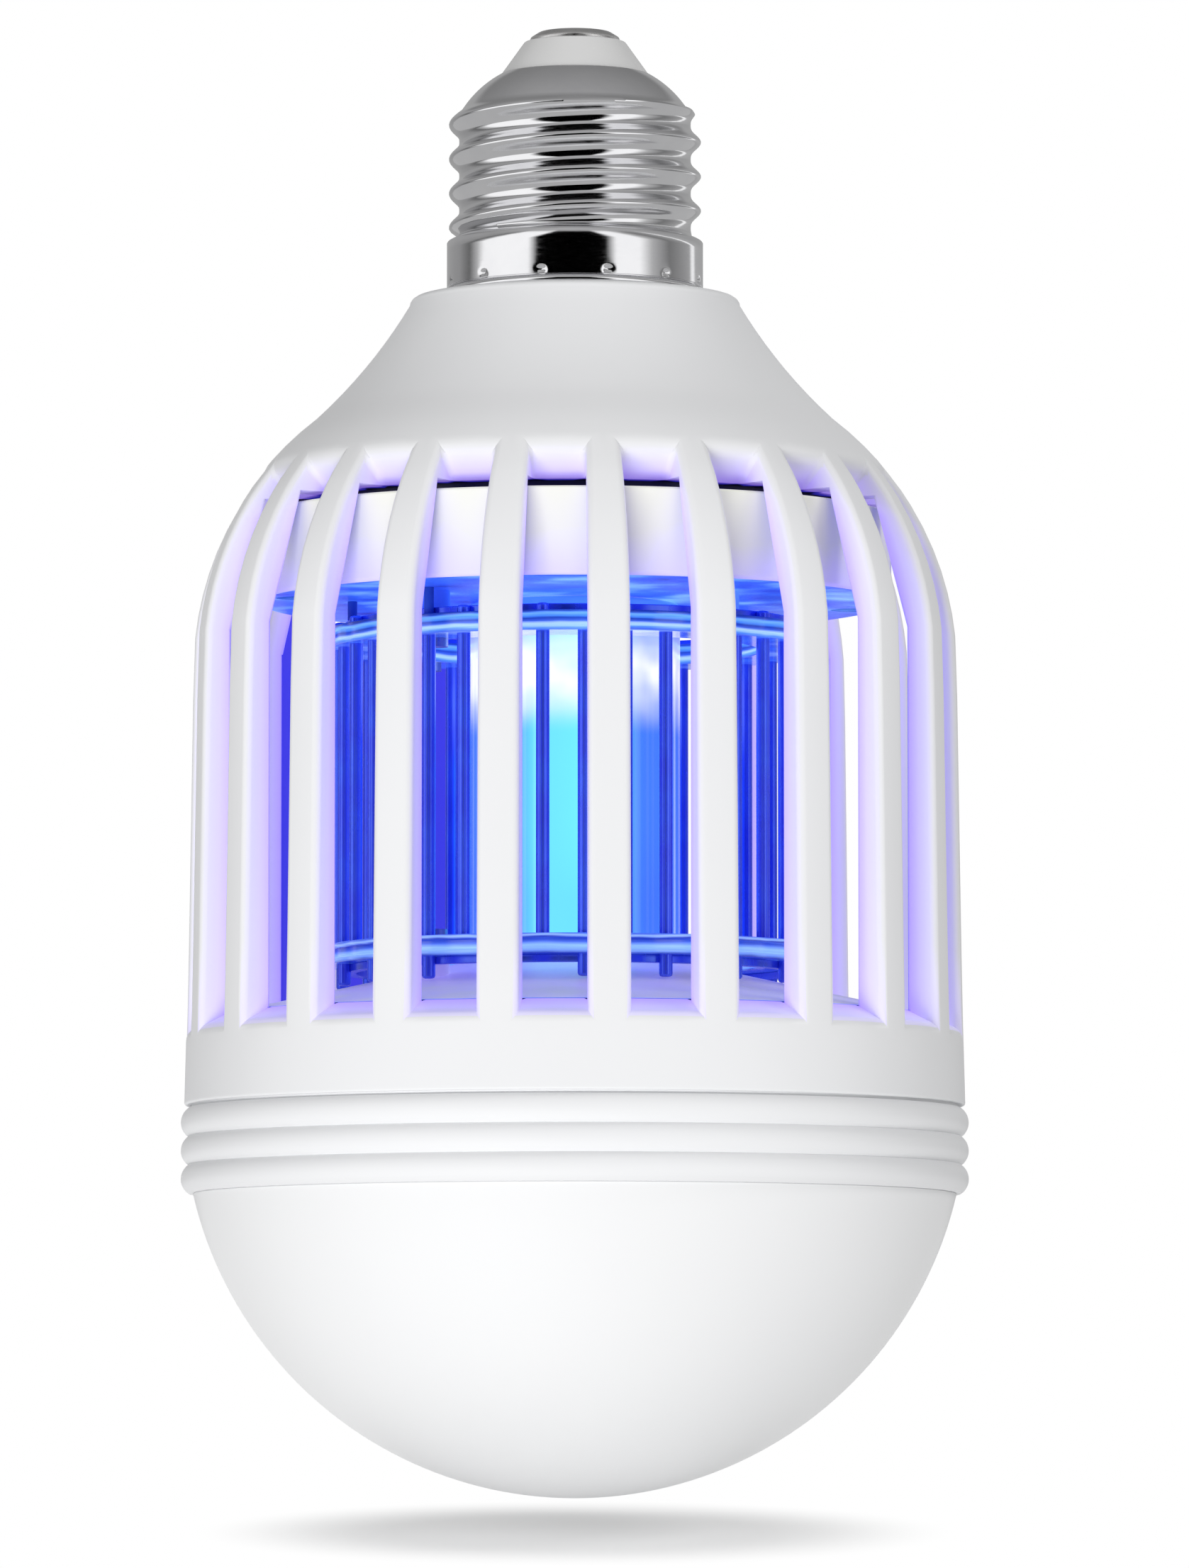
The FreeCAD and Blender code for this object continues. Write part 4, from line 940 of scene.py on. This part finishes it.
insideLooks = {
    "driver_board": ((0.02, 0.16, 0.05), (0.03, 0.22, 0.07), (0.3, 0.5), {"grainScale": 1800}),
    "transformer_core": ((0.02, 0.02, 0.022), (0.035, 0.035, 0.04), (0.6, 0.8), {"grainScale": 1500, "bump": 0.5}),
    "transformer_winding": ((0.75, 0.52, 0.04), (0.68, 0.44, 0.03), (0.25, 0.4), {"stretch": (1, 1, 8)}),
    "smoothing_capacitors": ((0.012, 0.012, 0.02), (0.02, 0.02, 0.03), (0.2, 0.35)),
    "film_capacitors": ((0.36, 0.03, 0.015), (0.42, 0.05, 0.02), (0.3, 0.45)),
    "multiplier_capacitors": ((0.36, 0.03, 0.015), (0.30, 0.025, 0.012), (0.3, 0.45)),
    "fuse_resistor": ((0.12, 0.26, 0.16), (0.10, 0.20, 0.13), (0.5, 0.7)),
    "contact_lead": ((0.45, 0.012, 0.01), (0.38, 0.01, 0.01), (0.4, 0.5)),
    "shell_lead": ((0.02, 0.02, 0.02), (0.035, 0.035, 0.035), (0.4, 0.5)),
    "light_leads": ((0.45, 0.012, 0.01), (0.38, 0.01, 0.01), (0.4, 0.5)),
    "grid_leads": ((0.02, 0.10, 0.55), (0.015, 0.07, 0.45), (0.4, 0.5)),
    "led_plate": ((0.58, 0.585, 0.59), (0.52, 0.525, 0.53), (0.35, 0.5), {"metal": 1.0}),
    "led_chips": ((0.86, 0.66, 0.12), (0.80, 0.58, 0.08), (0.3, 0.4)),
    "lamp_board": ((0.75, 0.76, 0.78), (0.70, 0.71, 0.74), (0.3, 0.45)),
    "lamp_leds": ((0.35, 0.15, 0.95), (0.28, 0.10, 0.85), (0.15, 0.3)),
}
for nodeName, look in insideLooks.items():
    title = nodeName.replace("shell", "sleeve").replace("_", " ").title().replace(" ", "")
    nodes[nodeName].data.materials.clear()
    nodes[nodeName].data.materials.append(plainFinish(title, *look))
for nodeName in ("tray_screws", "grid_screws", "plate_screws"):
    nodes[nodeName].data.materials.clear()
    nodes[nodeName].data.materials.append(screwFinish)
print("inner pieces finished")


# stage, light and camera

# colour and lift set the painted shadow near the bulb, which fades to white between whole and reach
stageFloor = {"tilt": 5.0, "level": 157.3, "whole": 18.0, "reach": 40.0, "size": 260.0,
              "colour": 0.60, "lift": 0.31, "bounce": 0.40, "world": 0.46}


def bareTree(owner, kind):
    # the emptied tree of a material or a world, and its output
    owner.use_nodes = True
    owner.node_tree.nodes.clear()
    return owner.node_tree, owner.node_tree.nodes.new("ShaderNodeOutput" + kind)


def seenRays(tree):
    # 1 for rays of the camera, of gloss and through glass
    path = tree.nodes.new("ShaderNodeLightPath").outputs
    calc = calculator(tree)
    return calc("MAXIMUM", path["Is Camera Ray"],
                calc("MAXIMUM", path["Is Glossy Ray"], path["Is Transmission Ray"]))


def makeFloor(size):
    # pale floor that leans to the camera; near the bulb its paper is darker, a painted shadow over its real shadow,
    # fading to plain white further out
    mesh = bpy.data.meshes.new("floor")
    reach = size["size"] * mm
    drop = math.tan(math.radians(size["tilt"])) * reach
    level = -size["level"] * mm
    mesh.from_pydata([(-reach, -reach, level - drop), (reach, -reach, level - drop),
                      (reach, reach, level + drop), (-reach, reach, level + drop)], [], [(0, 1, 2, 3)])
    floor = newPiece("floor", mesh)
    material = bpy.data.materials.new("paleFloor")
    tree, surface = bareTree(material, "Material")
    calc, seen = calculator(tree), seenRays(tree)
    paper = addNode(tree, "ShaderNodeBsdfDiffuse", Color=(size["colour"],) * 3)
    lift = addNode(tree, "ShaderNodeEmission", Color=(1, 1, 1), Strength=calc("MULTIPLY", seen, size["lift"]))
    white = addNode(tree, "ShaderNodeEmission", Color=(1, 1, 1), Strength=calc("MAXIMUM", seen, size["bounce"]))
    x, y, z = axesOf(tree, objectPlace(tree))
    distance = calc("SQRT", calc("ADD", calc("POWER", x, 2), calc("POWER", y, 2)))
    fade = rangeNode(tree, distance, size["whole"] * mm, size["reach"] * mm)
    near = addNode(tree, "ShaderNodeAddShader", paper, lift)
    fill(tree, surface, {"Surface": addNode(tree, "ShaderNodeMixShader", fade, near, white)})
    mesh.materials.append(material)
    floor.visible_shadow = False  # the low key lamp shines past it


def makeWorld(strength):
    # white to the eye, to gloss and through glass; an even grey light otherwise
    world = bpy.data.worlds.new("studio")
    bpy.context.scene.world = world
    tree, surface = bareTree(world, "World")
    level = calculator(tree)("MULTIPLY_ADD", seenRays(tree), 1 - strength, strength)
    fill(tree, surface, {"Surface": addNode(tree, "ShaderNodeBackground", Color=(1, 1, 1), Strength=level)})


def makeLamp(name, place, aim, width, height, power):
    data = bpy.data.lights.new(name, "AREA")
    data.shape = "RECTANGLE"
    data.size, data.size_y, data.energy = width, height, power
    lamp = newPiece(name, data)
    lamp.location = place
    lamp.rotation_euler = (Vector(aim) - Vector(place)).to_track_quat("-Z", "Y").to_euler()
    lamp.visible_camera = lamp.visible_glossy = False


def reflectionOnly(name, mesh):
    # a glowing stage piece that only gloss sees; gives its tree and output
    material = bpy.data.materials.new(name)
    mesh.materials.append(material)
    piece = newPiece(name, mesh)
    piece.visible_camera = piece.visible_diffuse = piece.visible_shadow = False
    piece.visible_transmission = piece.visible_volume_scatter = False
    return bareTree(material, "Material")


studioRoom = {
    "radius": 1500.0, "level": 20.0, "low": -12.0, "high": 30.0, "soft": 5.0, "above": 0.36, "below": 0.48,
    "lean": 0.16, "squeeze": 4.2, "squeezeEnd": 0.37, "gain": 1.18,
    "tones": [
        (-180, 0.33), (-135, 0.28), (-116, 0.13), (-104, 0.45), (-95, 1.0), (-45, 1.0), (-36, 0.0),
        (30, 0.0), (40, 1.0), (64, 1.0), (78, 0.45), (100, 0.18), (125, 0.30), (134, 0.35), (138, 0.9),
        (143, 0.9), (147, 0.4), (180, 0.33)],
}


def makeStudioRoom(size):
    # what polished metal sees: a dark front between two bright panels, dim behind, plain grey above and below
    radius, level, soft = size["radius"], size["level"], size["soft"]
    outline = [(radius * math.sin(turn), level - radius * math.cos(turn)) for turn in spread(0, math.pi, 24)]
    mesh = turnedMesh("studioRoom", outline[:-1] + [(0, level + radius)], 48)
    tree, surface = reflectionOnly("studioRoom", mesh)
    calc = calculator(tree)
    x, y, z = axesOf(tree, objectPlace(tree))
    rise = calc("ARCSINE", calc("DIVIDE", calc("ADD", z, level * mm), radius * mm))
    bend = calc("MINIMUM", calc("MULTIPLY", rise, rise), size["squeezeEnd"])
    turn = calc("MULTIPLY", calc("ARCTAN2", x, calc("MULTIPLY", y, -1)),
                calc("MULTIPLY_ADD", bend, size["squeeze"], 1))
    around = calc("MULTIPLY_ADD", turn, 1 / math.tau, 0.5)
    panels = rampNode(tree, around, [((turn + 180) / 360, (tone,) * 3) for turn, tone in size["tones"]])
    low, high = [rangeNode(tree, rise, math.radians(edge - fade), math.radians(edge + fade))
                 for edge, fade in ((size["low"], soft), (size["high"], -soft))]
    outer = calc("MULTIPLY_ADD", calc("GREATER_THAN", rise, 0), size["above"] - size["below"], size["below"])
    outer = calc("MULTIPLY_ADD", y, -size["lean"] / (radius * mm), outer)
    tone = mixNode(tree, "FLOAT", calc("MULTIPLY", low, high), outer, calc("MULTIPLY", panels, size["gain"]))
    fill(tree, surface, {"Surface": addNode(tree, "ShaderNodeEmission", Color=(1, 1, 1), Strength=tone)})


lowRing = {"inner": 60.0, "outer": 520.0, "level": 112.0, "tone": 0.50}


def makeLowRing(size):
    # keeps the white floor out of the polished thread
    inner, outer, level = size["inner"], size["outer"], size["level"]
    mesh = turnedMesh("lowRing", [(inner, level), (outer, level), (outer, level + 1), (inner, level + 1)], 48)
    tree, surface = reflectionOnly("lowRing", mesh)
    light = addNode(tree, "ShaderNodeEmission", Color=(size["tone"],) * 3, Strength=1)
    fill(tree, surface, {"Surface": light})


makeFloor(stageFloor)
makeWorld(stageFloor["world"])
makeStudioRoom(studioRoom)
makeLowRing(lowRing)
middle = (0, 0, -0.08)
makeLamp("keyLamp", (-0.34, -1.27, -0.72), middle, 0.7, 0.5, 15.0)
makeLamp("topLamp", (0.0, -0.12, 0.9), middle, 0.8, 0.8, 1.4)
makeLamp("sideLamp", (0.75, -0.1, 0.40), middle, 0.3, 0.3, 1.7)
makeLamp("backLamp", (-0.45, 1.2, 0.15), middle, 0.6, 0.6, 6.0)

camera = {"place": (0.00205, -1.07, -0.158), "pitch": 4.206, "focus": 14478.0,
          "photoHeight": 2212.0, "sensor": 36.0}


def makeCamera(size):
    data = bpy.data.cameras.new("camera")
    data.sensor_width = size["sensor"]
    # the sensor's width lies along the photograph's long side
    data.lens = size["sensor"] * size["focus"] / size["photoHeight"]
    data.clip_start, data.clip_end = 0.05, 20
    eye = newPiece("camera", data)
    eye.location = size["place"]
    eye.rotation_euler = (math.radians(90 + size["pitch"]), 0, 0)
    bpy.context.scene.camera = eye


makeCamera(camera)
bpy.context.scene.view_settings.view_transform = "Standard"
print("stage, light and camera set")
